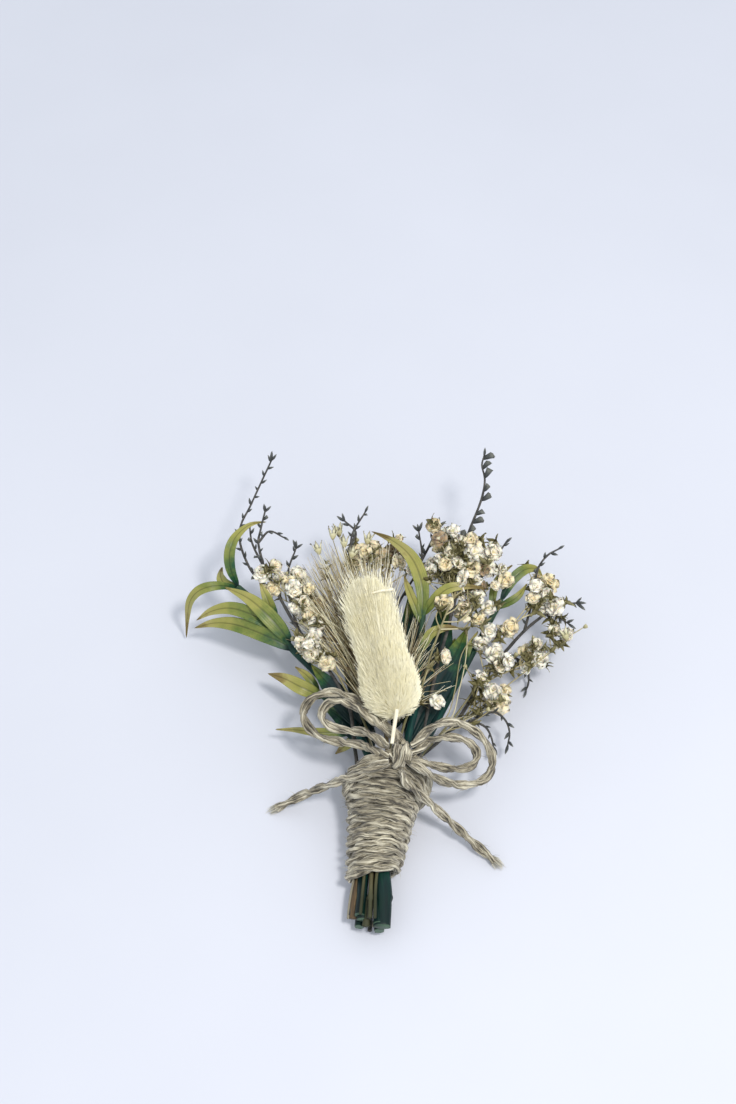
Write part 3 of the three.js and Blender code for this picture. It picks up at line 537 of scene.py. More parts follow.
def on_wrap(along, angle, out, lowest):
    """A point so far up the wrap, turned from its underside, and so far outside its bore."""
    axis = unit(WRAP_WIDE - WRAP_NARROW)
    side, normal = sides_of(axis, UP)
    radius = BORE_NARROW + (BORE_WIDE - BORE_NARROW) * max(along / WRAP_LONG, 0) ** WRAP_HOLLOW + out
    point = WRAP_NARROW + axis * along + side * radius * math.sin(angle) - normal * radius * math.cos(angle)
    point[2] = max(point[2], lowest)
    return point


# %% The winding
TURN_COUNT = 12.6
STEPS_A_TURN = 36
TWINE_LOW, TWINE_OUT = 1.3, 0.6
SLIPS, SLIPS_A_TURN, SLIP_SPREAD = 60, 4, 0.22
TILT_FIRST, TILT_LOST = 1.5, 1.1
draw = np.random.default_rng(5)


def winding():
    """The long helix. Each turn slips a little by chance and tilts up towards the right."""
    line = []
    slips = draw.normal(0, SLIP_SPREAD, SLIPS)
    pitch = (WRAP_LONG - TWINE) / TURN_COUNT
    for turn in np.arange(0.25, TURN_COUNT, 1 / STEPS_A_TURN):
        share = turn / TURN_COUNT
        slip = np.interp(turn * SLIPS_A_TURN, range(SLIPS), slips)
        tilt = (TILT_FIRST - TILT_LOST * share + slip) * math.sin(turn * FULL_TURN)
        along = TWINE / 2 + turn * pitch - tilt + 0.4 * slip
        line.append(on_wrap(along, turn * FULL_TURN, TWINE_OUT + 0.5 * abs(slip), TWINE_LOW))
    return line


def crossing(top, drop, middle):
    """A turn laid over the others: highest under the knot, and low at both sides, where it is tucked in."""
    line = []
    for share in np.linspace(0, 1, 40):
        rise = math.sin(math.pi * share)
        angle = math.pi * (0.2 + 1.6 * share) + middle
        out = -0.2 + 2.35 * rise**0.5
        line.append(on_wrap(top - drop * abs(2 * share - 1) ** 1.1, angle, out, TWINE_LOW))
    return line


CROSSINGS = [(27.4, 9.5, 0.35), (25.9, 8.5, 0.4), (24.2, 6.5, 0.3), (22.6, 4.6, 0.2)]
lines = [placed(winding())] + [placed(crossing(*numbers)) for numbers in CROSSINGS]
wrap = grow(guide(lines), twine_recipe, "twine_wrap_turns", Seed=20, Finish=jute, Lay=0.0115)
belongs("twine", wrap, node="twine_wrap")

# %% Closed skins in mesh code


def skin(rings):
    """The points and faces of a closed skin over equal rings, with a pole in the middle of each end."""
    rings = np.asarray(rings, float)
    rows, around = rings.shape[:2]
    points = np.vstack([rings.reshape(-1, 3), rings[0].mean(0), rings[-1].mean(0)])
    foot, top = rows * around, rows * around + 1
    faces = []
    for i in range(around):
        j = (i + 1) % around
        faces += [(r + i, r + j, r + around + j, r + around + i) for r in range(0, foot - around, around)]
        faces += [(foot, j, i), (top, foot - around + i, foot - around + j)]
    return points, faces


def mesh_of(name, skins, finish, facts):
    """Several closed skins as one smooth mesh whose faces all look outwards."""
    points, faces = [], []
    for skin_points, skin_faces in skins:
        start = sum(len(p) for p in points)
        points.append(skin_points)
        faces += [[start + k for k in face] for face in skin_faces]
    mesh = bpy.data.meshes.new(name)
    mesh.from_pydata(np.vstack(points).tolist(), [], faces)
    work = bmesh.new()
    work.from_mesh(mesh)
    bmesh.ops.recalc_face_normals(work, faces=work.faces)
    work.to_mesh(mesh)
    work.free()
    add_facts(mesh, facts)
    mesh.shade_smooth()
    mesh.materials.append(finish)
    return mesh


# %% The sleeve under the turns
SLEEVE_SIDES = 32
SLEEVE_ENDS = (3.0, 12.0, 22.5)
SLEEVE = [(along, 0.3) for along in SLEEVE_ENDS] + [(along, 0.05) for along in SLEEVE_ENDS[::-1]]


def band(rows, around):
    """The faces of a closed tube wall: rings outside, then rings inside, joined end to end."""
    faces = []
    pairs = [(i, (i + 1) % around) for i in range(around)]
    for r in range(rows):
        near, far = r * around, (r + 1) % rows * around
        faces += [(near + i, near + j, far + j, far + i) for i, j in pairs]
    return faces


angles = np.linspace(0, FULL_TURN, SLEEVE_SIDES, endpoint=False)
points = placed([on_wrap(along, angle, out, 0.3) for along, out in SLEEVE for angle in angles])
facts = {"along": points[:, 1], "round": (points - points.mean(0)) / (8 * MM)}
skins = [(points, band(len(SLEEVE), SLEEVE_SIDES))]
belongs("twine", new_piece("twine_wrap_sleeve", mesh_of("sleeve", skins, jute, facts)))
print("the sleeve has", len(skins[0][1]), "faces")

# %% The knot
KNOT_MIDDLE = np.array([5.4, -25.7, 20.1])
KNOT_TURNS, KNOT_WIDE = 2.4, 2.5
KNOT_BACK, KNOT_HIGH = 1.95, 1.35


def knot_line():
    line = []
    for turn in np.arange(-0.15, KNOT_TURNS, 1 / 24):
        angle = turn * FULL_TURN
        across = -KNOT_WIDE / 2 + KNOT_WIDE * turn / KNOT_TURNS
        lean = 0.5 * math.sin(angle + 0.6)
        line.append(KNOT_MIDDLE + [across + lean, KNOT_BACK * math.cos(angle), KNOT_HIGH * math.sin(angle)])
    return line


waist = [KNOT_MIDDLE + [x, 0.5 * math.sin(2 * x), 0.2 * x] for x in np.linspace(-2.2, 2.2, 12)]
knot_guide = guide([placed(knot_line()), placed(waist)])
knot = grow(knot_guide, twine_recipe, "bow_knot_turns", Seed=31, Finish=jute)
belongs("twine", knot, node="bow_knot")

# %% [markdown]
# ## Stems
# Every plant has a stem that starts at the cut end, runs through the wrap with the others and then goes
# its own way, thinning all along. Many twigs and stalks branch off it. A guide holds the lines and the
# thickness at each point, and one recipe turns any of them into round, slightly knobbly stems.

# %% The recipe for stems
tree, given = new_recipe("Stems", Sides=8, Knobbles=0.1, Grain=900.0, Finish=bpy.types.Material)
line = put("GeometryNodeMeshToCurve", given["Geometry"])
line = note(line, "along", put("GeometryNodeSplineParameter").outputs["Length"])
section = note(ring(given["Sides"]), "round", spot(), "FLOAT_VECTOR")
stems = tube(line, section, fact("thick"))
uneven = sums("SUBTRACT", noisy(spot(), given["Grain"], 1.0), 0.5)
uneven = sums("MULTIPLY", uneven, sums("MULTIPLY", given["Knobbles"], fact("thick")))
stem_recipe = serve(moved(stems, scaled(outward(), uneven)), given["Finish"])
tones = np.random.default_rng(12)


def stems_of(name, lines, thick, finish, steps=5, **sizes):
    """Stems along drawn routes; thick gives the radius in millimetres at each route's two ends."""
    runs = [curved(route, steps) for route in lines]
    widths = [np.linspace(*ends, len(run)) for ends, run in zip(thick, runs)]
    facts = {
        "thick": np.concatenate(widths) * MM,
        "share": np.concatenate([np.linspace(0, 1, len(run)) for run in runs]),
        "tone": np.concatenate([np.full(len(run), tones.random()) for run in runs]),
    }
    return grow(guide([placed(run) for run in runs], **facts), stem_recipe, name, Finish=finish, **sizes)


# %% The bundle inside the wrap
CUT = np.array([-1.5, -59.5, 4.9])
CUT_SPREAD, WIDE_SPREAD = 1.15, 1.92
SEATS = {
    "leafy_spray_left": (-1.75, 1, 2.4),
    "leafy_spray_low_left": (-1.9, -1.6, 1),
    "leafy_spray_centre": (1.75, 1.35, 0.3),
    "leafy_spray_right": (1.9, -1.35, 0),
    "bearded_grass": (0, 2.3, 1.2),
    "babys_breath_left": (-1.62, 3.05, 1.8),
    "babys_breath_right": (1.07, 3.28, 0.8),
    "babys_breath_top": (0, -1.45, 1.4),
    "babys_breath_low_right": (1.35, -3.17, 0.6),
    "sea_lavender_left": (-3.44, -0.24, 3.2),
    "sea_lavender_top": (0, -0.1, 2),
    "sea_lavender_tall": (3.45, 0.06, 1.6),
    "sea_lavender_low_right": (0.12, -3.45, 1),
}


def bundled(name, stem):
    """A whole stem: from its cut end through the wrap, by its seat across and up, and on along its route."""
    across, up, short = SEATS[name]
    cut = CUT + [across * CUT_SPREAD, short, up * CUT_SPREAD]
    narrow = WRAP_NARROW + [across, 0, up]
    wide = WRAP_WIDE + [across * WIDE_SPREAD, 0, up * WIDE_SPREAD]
    return [cut, narrow, (narrow + wide) / 2, wide, *drawn(stem)]


# %% Frayed ends of the bow
frayed_jute, tree, shader = new_finish("frayed jute", Roughness=0.9)
mixed = sums("MULTIPLY_ADD", stored("share"), 0.4, sums("MULTIPLY", stored("tone"), 0.6))
paint(ramp(mixed, (0.1, 140, 134, 116), (0.8, 232, 228, 212)))
FRAYED_FIBRES, FIBRE_LOW = 60, 0.15
draw = np.random.default_rng(31)
frayed = []
for tail in ("bow_tail_left", "bow_tail_right"):
    *_, before, end = np.array(drawn(BOW[tail]))
    ahead = unit(end - before)
    for _ in range(FRAYED_FIBRES):
        spread = unit(draw.normal(0, 1, 3))
        start = end - ahead * 0.8 + spread * draw.uniform(0.1, 0.7)
        reach = ahead * draw.uniform(1.4, 2.9) + spread * draw.uniform(0.1, 0.8)
        line = [start, start + reach * 0.5 + spread * 0.15, start + reach]
        frayed.append([[x, y, max(z, FIBRE_LOW)] for x, y, z in line])
thick = [(0.09, 0.03)] * len(frayed)
belongs("twine", stems_of("twine_frayed_ends", frayed, thick, frayed_jute, steps=2, Sides=3))

# %% [markdown]
# ## Leafy sprays
# These leaves are moulded plastic: narrow, glossy blades, dark bluish green at the foot and olive yellow
# at the tip, with a groove down the middle and fine veins beside it. A blade is a skin over rings that
# follow its route; it is folded a little along the groove and smoothed by one subdivision.

# %% The finish of leaves
leaf_green, tree, shader = new_finish(
    "glossy leaf", Roughness=0.36, Specular_IOR_Level=0.35, Coat_Weight=0.06, Coat_Roughness=0.25
)
along, across, own_tone = put("ShaderNodeSeparateXYZ", stored("blade", "Vector")).outputs
mottled = noisy(own_place(), 220.0, 4.0)
ripe = sums("MULTIPLY_ADD", sums("SUBTRACT", mottled, 0.5), 0.85, along)
ripe = sums("ADD", ripe, sums("MULTIPLY", sums("SUBTRACT", own_tone, 0.5), 0.5))
colour = ramp(
    ripe,
    (0.0, 6, 42, 44), (0.15, 32, 80, 52), (0.3, 98, 118, 54),
    (0.6, 152, 154, 82), (0.86, 166, 162, 100), (1.0, 128, 114, 66),
)
# Painted shade: the leaf colour is multiplied darker along the groove down the middle, where the crease
# holds shade, and is a touch paler towards the edges.
from_groove = sums("ABSOLUTE", across)
groove = ramp(
    from_groove, (0.0, 168, 168, 150), (0.13, 248, 242, 232), (0.7, 252, 248, 240), (0.95, 255, 252, 246)
)
paint(blend(1.0, colour, groove, "MULTIPLY"))
veins = sums("SINE", sums("MULTIPLY", across, 26.0))
relief(sums("ADD", sums("MULTIPLY", veins, 0.5), mottled), 0.35, 0.00012)

# %% The finish of moulded stems
STAINED_BELOW, CLEAN_ABOVE = -0.052, -0.038


def stained(colour, *stain):
    """The colour of a stem, stained towards the cut ends at the foot of the posy."""
    place = put("ShaderNodeSeparateXYZ", own_place()).outputs["Y"]
    reach = put("ShaderNodeMapRange", place, STAINED_BELOW, CLEAN_ABOVE)
    return blend(1.0, colour, ramp(reach, (0.0, *stain), (1.0, 255, 255, 255)), "MULTIPLY")


stem_green, tree, shader = new_finish("moulded green stem", Roughness=0.45, Specular_IOR_Level=0.25)
streaks = streaked(900, 120)
colour = ramp(streaks, (0.3, 4, 36, 40), (0.55, 10, 60, 56), (0.75, 30, 84, 62))
fresh_cut = ramp(sums("MULTIPLY", stored("along"), 1000.0), (0.05, 120, 150, 124), (0.25, 0, 0, 0))
ripening = ramp(stored("share"), (0.65, 0, 0, 0), (1.0, 46, 48, 10))
colour = stained(blend(1.0, colour, ripening, "ADD"), 150, 160, 160)
paint(blend(0.4, colour, fresh_cut, "LIGHTEN"))
relief(streaks, 0.4, 0.0002)

# %% One blade
FRONT = np.array([0.0, -0.45, 0.89])
ACROSS = np.array([-1, -0.62, -0.22, 0, 0.22, 0.62, 1])
UNDER = slice(-2, 0, -1)
BLADE_ROWS = 22
BLADE_THICK, BLADE_FOLD = 0.42, 0.34
BLADE_NARROWEST, BLADE_GROOVE, BLADE_WAVE = 0.26, 0.16, 0.12


def blade_skin(route, wide, wave=0.0):
    """A closed leaf blade along a route, and its facts: share along it and place across it."""
    run = curved(route, 8)
    spots = np.linspace(0, len(run) - 1, BLADE_ROWS)
    run = np.array([[np.interp(s, range(len(run)), run[:, axis]) for axis in range(3)] for s in spots])
    rings, facts = [], []
    for k in range(1, BLADE_ROWS - 1):
        share = k / (BLADE_ROWS - 1)
        swell = math.sin(math.pi * share**0.66) ** 0.9
        half = max(wide / 2 * swell, BLADE_NARROWEST)
        thick = BLADE_THICK / 2 * min(1, swell * 1.5)
        side, normal = sides_of(run[k + 1] - run[k - 1], FRONT)
        lift = BLADE_FOLD * half * ACROSS**2 + BLADE_WAVE * np.abs(ACROSS) * math.sin(share * 17 + wave)
        groove = np.where(ACROSS == 0, BLADE_GROOVE, 0)

        def edge_to_edge(way, part):
            rows = zip(ACROSS[part], lift[part], groove[part])
            places = [(a, up + way * thick * (1 - a * a) - g) for a, up, g in rows]
            return [run[k] + side * half * a + normal * high for a, high in places]

        rings.append(edge_to_edge(1, slice(None)) + edge_to_edge(-1, UNDER))
        facts += [(share, a) for a in [*ACROSS, *ACROSS[UNDER]]]
    points, faces = skin(rings)
    facts += [(0.02, 0.5), (1.0, 0.5)]
    points[-2], points[-1] = run[0], run[-1]
    return placed(points), faces, facts


# %% The leaves of each spray: width and route
LEAFY = {
    "leafy_spray_left": dict(
        ripe=0.45,
        thick=(1.15, 0.75),
        stem="-3.6 -16 11, -7 -7 9.8, -14 1.5 10, -20.5 8.5 11, -25 15.5 13, -32.8 22.3 14.8",
        leaves=[
            (4.2, "-18.8 7 10.8, -25.5 9.8 12.8, -33 13 12.8, -38.5 14.6 11, -43.6 15 8"),
            (3.8, "-21.6 10.6 12, -27.6 13.6 14.8, -34 16 15.3, -39 16.6 13, -43 15.8 10"),
            (4.6, "-19.8 8.6 11.6, -24.4 12.6 15.6, -29.6 17 17.6, -36 21 17"),
            (2.9, "-23.4 13.6 13, -25.6 17.6 17, -27.5 21.4 19"),
            (2.8, (
                "-32.8 22.3 14.8, -38 20.8 17.6, -41.5 20 17, -44 19.5 13.5, -45.2 18.5 7.5, -46 16.5 0.6"
            )),
            (3, (
                "-32.5 22.2 14.8, -34.2 24 19, -34.6 26.5 21.6, -34 29 23.2, -32.4 32 23.4, "
                "-29.8 35.4 22.2, -26 38.2 19.3"
            )),
            (2.9, "-32.6 22.1 14.8, -36 23.4 14.6, -37.2 26 14, -37 29.4 13"),
            (5.6, "-3.4 -13.6 10.6, -7.6 -7.6 12.2, -11.4 -2.6 12.6, -15.2 2.4 12.6"),
            (4.8, "-0.6 -14.4 11, -3.4 -7 12.4, -6 0 13, -8.6 7.5 13.4"),
        ],
    ),
    "leafy_spray_low_left": dict(
        ripe=0.5,
        thick=(1.0, 0.7),
        stem="-2.6 -16 7, -5.8 -10.5 7.4, -10.2 -5.5 7.6, -13.6 -2.5 8.4",
        leaves=[
            (4.0, "-12 -4 8.2, -17 -2.9 10.6, -21.3 -0.4 10.6, -25.5 2 9"),
            (2.4, "-13.2 -2.8 8.4, -16 0.4 10.4, -19 3 10.4"),
            (2.5, "-4.6 -12.8 7.2, -9.5 -13 7.4, -14 -13 7.8, -18.5 -12.4 7.8, -23.5 -11.5 6.4"),
            (2.6, "-4 -13.6 7, -7 -14.8 4.6, -9.5 -15.8 2.4"),
            (7.2, "-0.5 -17.5 8, -4 -12.8 9, -8 -9.4 9.4, -12.5 -6.5 9"),
        ],
    ),
    "leafy_spray_centre": dict(
        ripe=0.7,
        thick=(1.15, 0.7),
        stem="7.5 -16 13, 9.3 -8 14, 10.2 3 15.2, 11 13.5 16.6",
        leaves=[
            (4.0, "10.7 11.4 16.2, 10.9 18 20, 9.6 23 22, 7.4 27 22.4, 3.8 31.5 21, -1.5 36.5 18"),
            (3.0, "10.9 13 16.4, 14 15.8 20, 17 17.5 21.6, 21 18 21.6, 25.8 18.5 20"),
            (7.6, "7 -18 10.6, 10.6 -9.6 12.2, 15.2 -1.6 12.8, 19 6 13, 21.4 12 13.2"),
            (8.8, "6.4 -15 9.6, 11.2 -4 11, 14.2 6 11.4, 15.6 14 11.8, 16.2 22 12.4"),
            (7.2, "4 -14 9.6, 6.6 -2 10.6, 8 9 11, 8.3 17 11.4, 8.6 25 12"),
            (2.4, "10.5 11 16.2, 8.8 15.5 18.6, 7.4 19.2 19.6, 6.6 22.6 19.6"),
            (2.6, "10.2 3.5 15.3, 12.5 7.5 17.3, 16 9 17.8, 20.5 9.5 16.4"),
        ],
    ),
    "leafy_spray_right": dict(
        ripe=0.35,
        thick=(1.1, 0.7),
        stem="11 -16 7.5, 17 -4 8, 24 9.5 10.2, 29.8 19.8 13",
        leaves=[
            (3, "29.4 19.2 12.8, 32.5 24 15.5, 35.5 26.4 16.2, 38.2 27.4 15, 40 27 12.5"),
            (2.2, "27.4 15.6 11.8, 28 22 14.4, 30.2 26.4 14.6, 33 30 13"),
            (2.2, "28.6 17.8 12.4, 33.5 20 14.2, 36 23.4 14.8"),
            (2, "20.4 2.6 9.2, 21.6 7 12, 24 11 13.4"),
            (5.8, "8.6 -18.6 7.6, 12.2 -8 10.2, 16 2.4 11.2, 18.8 11 10.8"),
        ],
    ),
}
DARK_WIDE = 4.65
DEEP_GREEN_AND_SHADE_TONE = -0.7

# %% Make the leafy sprays
# A blade wider than DARK_WIDE lies deep in the posy, under the other parts, and its tone is held dark green
# from foot to tip: partly the leaves' own dark green and partly painted shade.
for node, spray in LEAFY.items():
    skins, facts = [], []
    for wide, route in spray["leaves"]:
        tone = DEEP_GREEN_AND_SHADE_TONE if wide > DARK_WIDE else spray["ripe"] + 0.5 * tones.random()
        points, faces, blade_facts = blade_skin(drawn(route), wide, wave=6 * tones.random())
        skins.append((points, faces))
        facts += [(share, across, tone) for share, across in blade_facts]
    leaves = new_piece(node + "_leaves", mesh_of(node, skins, leaf_green, {"blade": np.array(facts)}))
    smooth = leaves.modifiers.new("smooth", "SUBSURF")
    smooth.levels = smooth.render_levels = 1
    stem = [bundled(node, spray["stem"])]
    stem = stems_of(node + "_stem", stem, [spray["thick"]], stem_green, Sides=10, Grain=300.0)
    belongs("leaves", leaves, stem, node=node)
    print(node, "has", len(spray["leaves"]), "leaves")

# %% [markdown]
# ## Setting small things out
# Flowers, husks and buds are the same few shapes over and over. A guide
# holds only points, each with the way its shape looks, a turn about that
# way, a size and which shape it gets. One recipe sets the shapes out.

# %% The recipe for setting out
tree, given = new_recipe("Set out", Shapes=bpy.types.Collection, Finish=bpy.types.Material)
spin = put("FunctionNodeAxisAngleToRotation", Axis=(0, 0, 1), Angle=fact("turn"))
looks = aimed_at(fact("aim", "FLOAT_VECTOR"))
set_down = put(
    "GeometryNodeInstanceOnPoints",
    Points=given["Geometry"],
    Instance=put("GeometryNodeCollectionInfo", given["Shapes"], Separate_Children=True, Reset_Children=True),
    Pick_Instance=True,
    Instance_Index=fact("kind", "INT"),
    Rotation=put("FunctionNodeRotateRotation", looks, spin, rotation_space="LOCAL"),
    Scale=fact("size"),
)
scatter_recipe = serve(set_down, given["Finish"])


def shape_box(title, *meshes):
    """A collection of shapes that isn't part of the scene, so only their copies are ever seen."""
    box = bpy.data.collections.new(title)
    for number, mesh in enumerate(meshes):
        box.objects.link(bpy.data.objects.new(f"{title} {number}", mesh))
    return box


def set_out(name, shapes, finish, spots):
    """Spots are rows of: place in millimetres, aim, turn, size, kind, tone."""
    places, aims, *numbers = zip(*spots)
    turns, sizes, kinds, own_tones = map(np.array, numbers)
    facts = {"aim": np.array(aims), "turn": turns, "size": sizes, "kind": kinds, "tone": own_tones}
    source = guide([placed([place]) for place in places], **facts)
    return grow(source, scatter_recipe, name, Shapes=shapes, Finish=finish)


def lathed(profile, sides, wobble, lobes):
    """A closed skin about the Z axis from pairs of height and radius, lobed as much as asked."""
    turns = np.linspace(0, FULL_TURN, sides, endpoint=False)
    rings = []
    for z, r in profile:
        radii = r * (1 + wobble * np.cos(lobes * turns))
        rings.append(np.stack([radii * np.cos(turns), radii * np.sin(turns), np.full(sides, z)], 1) * MM)
    return skin(rings)


# %% [markdown]
# ## Bunny tail
# The head is the seed head of a grass: a soft oval brush of thousands of cream
# hairs that all lean towards its tip. A bumpy solid would look like wood. So a slim
# core is covered with real hairs by Geometry Nodes, short and steep at the foot,
# long and open at the tip. Two more coats of hair over the same core make it dense.

# %% Finish and core of the bunny tail
cream_hair, tree, shader = new_finish("cream hair", Roughness=0.8, Sheen_Weight=0.65, Sheen_Roughness=0.5)
colour = ramp(stored("strand"), (0.0, 247, 241, 212), (0.4, 250, 245, 219), (1.0, 253, 249, 230))
patches = ramp(noisy(own_place(), 260.0, 3.0), (0.3, 252, 250, 240), (0.7, 255, 255, 255))
paint(blend(1.0, colour, patches, "MULTIPLY"))

HEAD_BASE = np.array([5.1, -18.0, 22.0])
HEAD_TIP = np.array([-3.4, 17.8, 26.4])
HEAD_AXIS = unit(HEAD_TIP - HEAD_BASE)
HEAD_LONG, HEAD_WIDE = 37.0, 6.7
HEAD_SHARES = [0, 0.02, 0.07, 0.16, 0.5, 0.75, 0.9, 1]
HEAD_RADII = [0.05, 0.4, 0.88, 1.08, 1.0, 0.95, 0.75, 0.3]
CORE_START, CORE_LONG, CORE_SHARE = 1.2, 29.5, 0.63
CORE_ROWS, CORE_SIDES = 28, 24


def core_of_head():
    side, normal = sides_of(HEAD_AXIS, UP)
    turns = np.linspace(0, FULL_TURN, CORE_SIDES, endpoint=False)
    rings = []
    for share in np.linspace(0, 1, CORE_ROWS):
        radius = CORE_SHARE * HEAD_WIDE * np.interp(share, HEAD_SHARES, HEAD_RADII)
        middle = HEAD_BASE + HEAD_AXIS * (CORE_START + share * CORE_LONG)
        rings.append([middle + radius * (side * math.cos(t) + normal * math.sin(t)) for t in turns])
    points, faces = skin(rings)
    share = (points - HEAD_BASE) @ HEAD_AXIS / HEAD_LONG
    return mesh_of("core", [(placed(points), faces)], cream_hair, {"share": share, "strand": 0 * share})


# %% The recipe for hair: where each one goes
tree, given = new_recipe(
    "Hair",
    Hairs=11.7,
    Hair_length=0.0052,
    Width=0.0001,
    Thickness=0.00004,
    Seed=3,
    Body=True,
    Finish=bpy.types.Material,
)


def graded(share, *limits):
    return put("ShaderNodeMapRange", share, *limits)


dense = sums("MULTIPLY", given["Hairs"], 1e6)
scatter = put("GeometryNodeDistributePointsOnFaces", given["Geometry"], Density=dense, Seed=given["Seed"])
share = fact("share")
wild = sums("MAXIMUM", sums("MULTIPLY_ADD", chance(0.0, 1.0, 9), 10.0, -9.0), 0.0)
wild = sums("MULTIPLY", wild, graded(share, 0.35, 0.8, 0.3, 1.0))
lift = sums("MULTIPLY_ADD", wild, 0.3, graded(share, 0.03, 0.3, 1.0, 0.24))
stray = chance((-0.1, -0.1, -0.1), (0.1, 0.1, 0.1), given["Seed"], data_type="FLOAT_VECTOR")
lean = vectors("ADD", scaled(scatter.outputs["Normal"], lift), stray)
lean = vectors("ADD", lean, tuple(HEAD_AXIS))
long = sums("MULTIPLY_ADD", wild, 0.75, chance(0.72, 1.12, given["Seed"]))
long = sums("MULTIPLY", sums("MULTIPLY", graded(share, 0.0, 0.35, 0.5, 1.0), long), given["Hair length"])

# %% The recipe for hair: one strand and its copies
strand = arc(2, (-3.5, 0.0, 0.55), (2.0, 0.0, 1))
strand = note(strand, "strand", put("GeometryNodeSplineParameter").outputs["Factor"])
strand = tube(strand, ring(3, 0.5), sums("SUBTRACT", 1.1, fact("strand")))
inward = vectors("MULTIPLY", scatter.outputs["Normal"], (-1, -1, -1))
coat = put(
    "GeometryNodeInstanceOnPoints",
    Points=scatter.outputs["Points"],
    Instance=strand,
    Rotation=aimed_at(inward, Rotation=aimed_at(lean), axis="X", pivot_axis="Z"),
    Scale=put("ShaderNodeCombineXYZ", given["Thickness"], given["Width"], long),
)
body = put("GeometryNodeSwitch", given["Body"], None, given["Geometry"], input_type="GEOMETRY")
hair_recipe = serve(joined(body, coat), given["Finish"], smooth=False)

# %% Make the bunny tail
cream_stalk, tree, shader = new_finish("cream stalk", Roughness=0.55)
grain = streaked(2200, 260, 3.0)
paint(ramp(grain, (0.3, 222, 212, 178), (0.7, 250, 245, 226)))
relief(grain, 0.3, 0.0001)

COATS = {"bunny_tail_head": 3, "bunny_tail_fur_inner": 4, "bunny_tail_fur_outer": 5}
coats = []
for name, seed in COATS.items():
    core = new_piece("core", core_of_head())
    coats.append(grow(core, hair_recipe, name, Seed=seed, Body=not coats, Finish=cream_hair))
belongs("bunny_tail", *coats, node="bunny_tail")
TAIL_STALK = drawn("4.6 -17 25.3, 4.3 -19 24.8, 3.9 -21.4 23.8, 3.5 -24.2 22.9")
STRAY_BIT = drawn("-1.2 10.2 30.4, 1.4 10.7 30.8, 3.9 11.1 30.7")
thick = [(0.45, 0.42), (0.2, 0.36)]
belongs("bunny_tail", stems_of("bunny_tail_stalk", [TAIL_STALK, STRAY_BIT], thick, cream_stalk, Sides=8))

# %% [markdown]
# ## Bearded grass
# Behind the bunny tail lies an ear of bearded grass. What shows of it are its awns: long, straight, golden
# bristles that fan out to the left, past the tip, and to the right. Each is a very thin tapering stem, so
# the stem recipe makes them all in one go. Small husks round the ear's middle are narrow blades.

# %% The finish of straw
straw, tree, shader = new_finish("golden straw", Roughness=0.5)
mixed = sums("MULTIPLY_ADD", stored("share"), 0.4, -0.14)
mixed = sums("MULTIPLY_ADD", stored("tone"), 0.95, mixed)
colour = ramp(
    mixed,
    (0.0, 58, 46, 32), (0.25, 118, 98, 66),
    (0.5, 192, 176, 132), (0.75, 240, 229, 188), (1.0, 250, 246, 222),
)
paint(stained(colour, 92, 104, 84))
relief(noisy(own_place(), 3000.0), 0.3, 0.00005)

# %% Awns: how many to a tip, where their feet lie, how they stray, how thick they are, and the tips
AWNS = [
    (36, (0.6, -15.0, 6.0), 1.0, (0.15, 0.045), (
        "-18.6 12 14.4, -19 17.5 15.4, -18.4 20.5 16.4, -17.6 23 17.4, -15.2 24.6 18.4, -12.6 26 19.4, "
        "-10.6 27.6 20"
    )),
    (18, (0.6, 2.0, 12.0), 1.0, (0.12, 0.04), (
        "-8.6 28.4 20.6, -5.4 27.4 19, -2.4 28.4 18.8, 0.6 27.8 18.8, 3.6 27 18.6, 5 24.6 17.6"
    )),
    (6, (4.6, -15.0, -4.0), 0.55, (0.1, 0.035), (
        "16.4 -5.6 17, 16.7 -1.6 17, 13.8 0.2 17, 12.7 3.4 17, 14.9 3.7 17.4, 11.1 6.2 17.4, "
        "12.5 8.3 17.6, 9.3 11.1 18, 7.6 16.6 17, 9.8 13.4 17, 12.2 11 16.6"
    )),
]
AWN_FOOT_HIGH = 15.2
draw = np.random.default_rng(8)
awns, awn_thick = [], []
for count, (across, low, high), stray, thick, tips in AWNS:
    for tip in drawn(tips):
        awn_thick += [thick] * count
        for _ in range(count):
            end = np.array(tip) + draw.normal(0, stray, 3) * [1.6, 2.1, 1.3]
            foot = np.array([across, draw.uniform(low, high), AWN_FOOT_HIGH]) + draw.normal(0, 0.8, 3)
            middle = (foot + end) / 2 + [0, draw.normal(0, 0.4), draw.uniform(-0.4, 1.6)]
            awns.append([foot, middle, end])

# %% Make the bearded grass
EAR_HUSKS = 46
EAR_FOOT, EAR_STEP = np.array([1.6, -15, 14.2]), np.array([-0.07, 0.55, 0])
grass_stem = [bundled("bearded_grass", "2.2 -14 13.4, 1.6 -6 14.2, 0.4 2 14.6")]
grass_stem = stems_of("bearded_grass_stem", grass_stem, [(0.5, 0.42)], straw, Sides=7)
beard = stems_of("bearded_grass_awns", awns, awn_thick, straw, steps=3, Sides=3, Knobbles=0.0)
chaff = []
for number in range(EAR_HUSKS):
    way = -1 if number % 2 else 1
    foot = EAR_FOOT + number * EAR_STEP + draw.normal(0, 0.5, 3)
    reach = np.array([way * draw.uniform(2.4, 7.5) - 1.5, draw.uniform(4.5, 8.5), draw.uniform(-0.5, 1.5)])
    chaff.append(blade_skin([foot, foot + reach * [0.35, 0.55, 0.7], foot + reach], draw.uniform(0.9, 1.5)))
facts = {
    "share": np.concatenate([[share for share, _ in blade_facts] for _, _, blade_facts in chaff]),
    "tone": np.concatenate([np.full(len(points), draw.uniform(-0.4, 0.6)) for points, _, _ in chaff]),
}
ear = new_piece("bearded_grass_ear", mesh_of("ear", [husk[:2] for husk in chaff], straw, facts))
belongs("straw", beard, grass_stem, ear, node="bearded_grass")

# %% [markdown]
# ## Sea lavender
# Dried sea lavender has thin dark twigs with papery husks, where its
# flowers were. On the tall twig at the right they are large bells that all
# stand on one side; on the others they are small scales and forked tips.

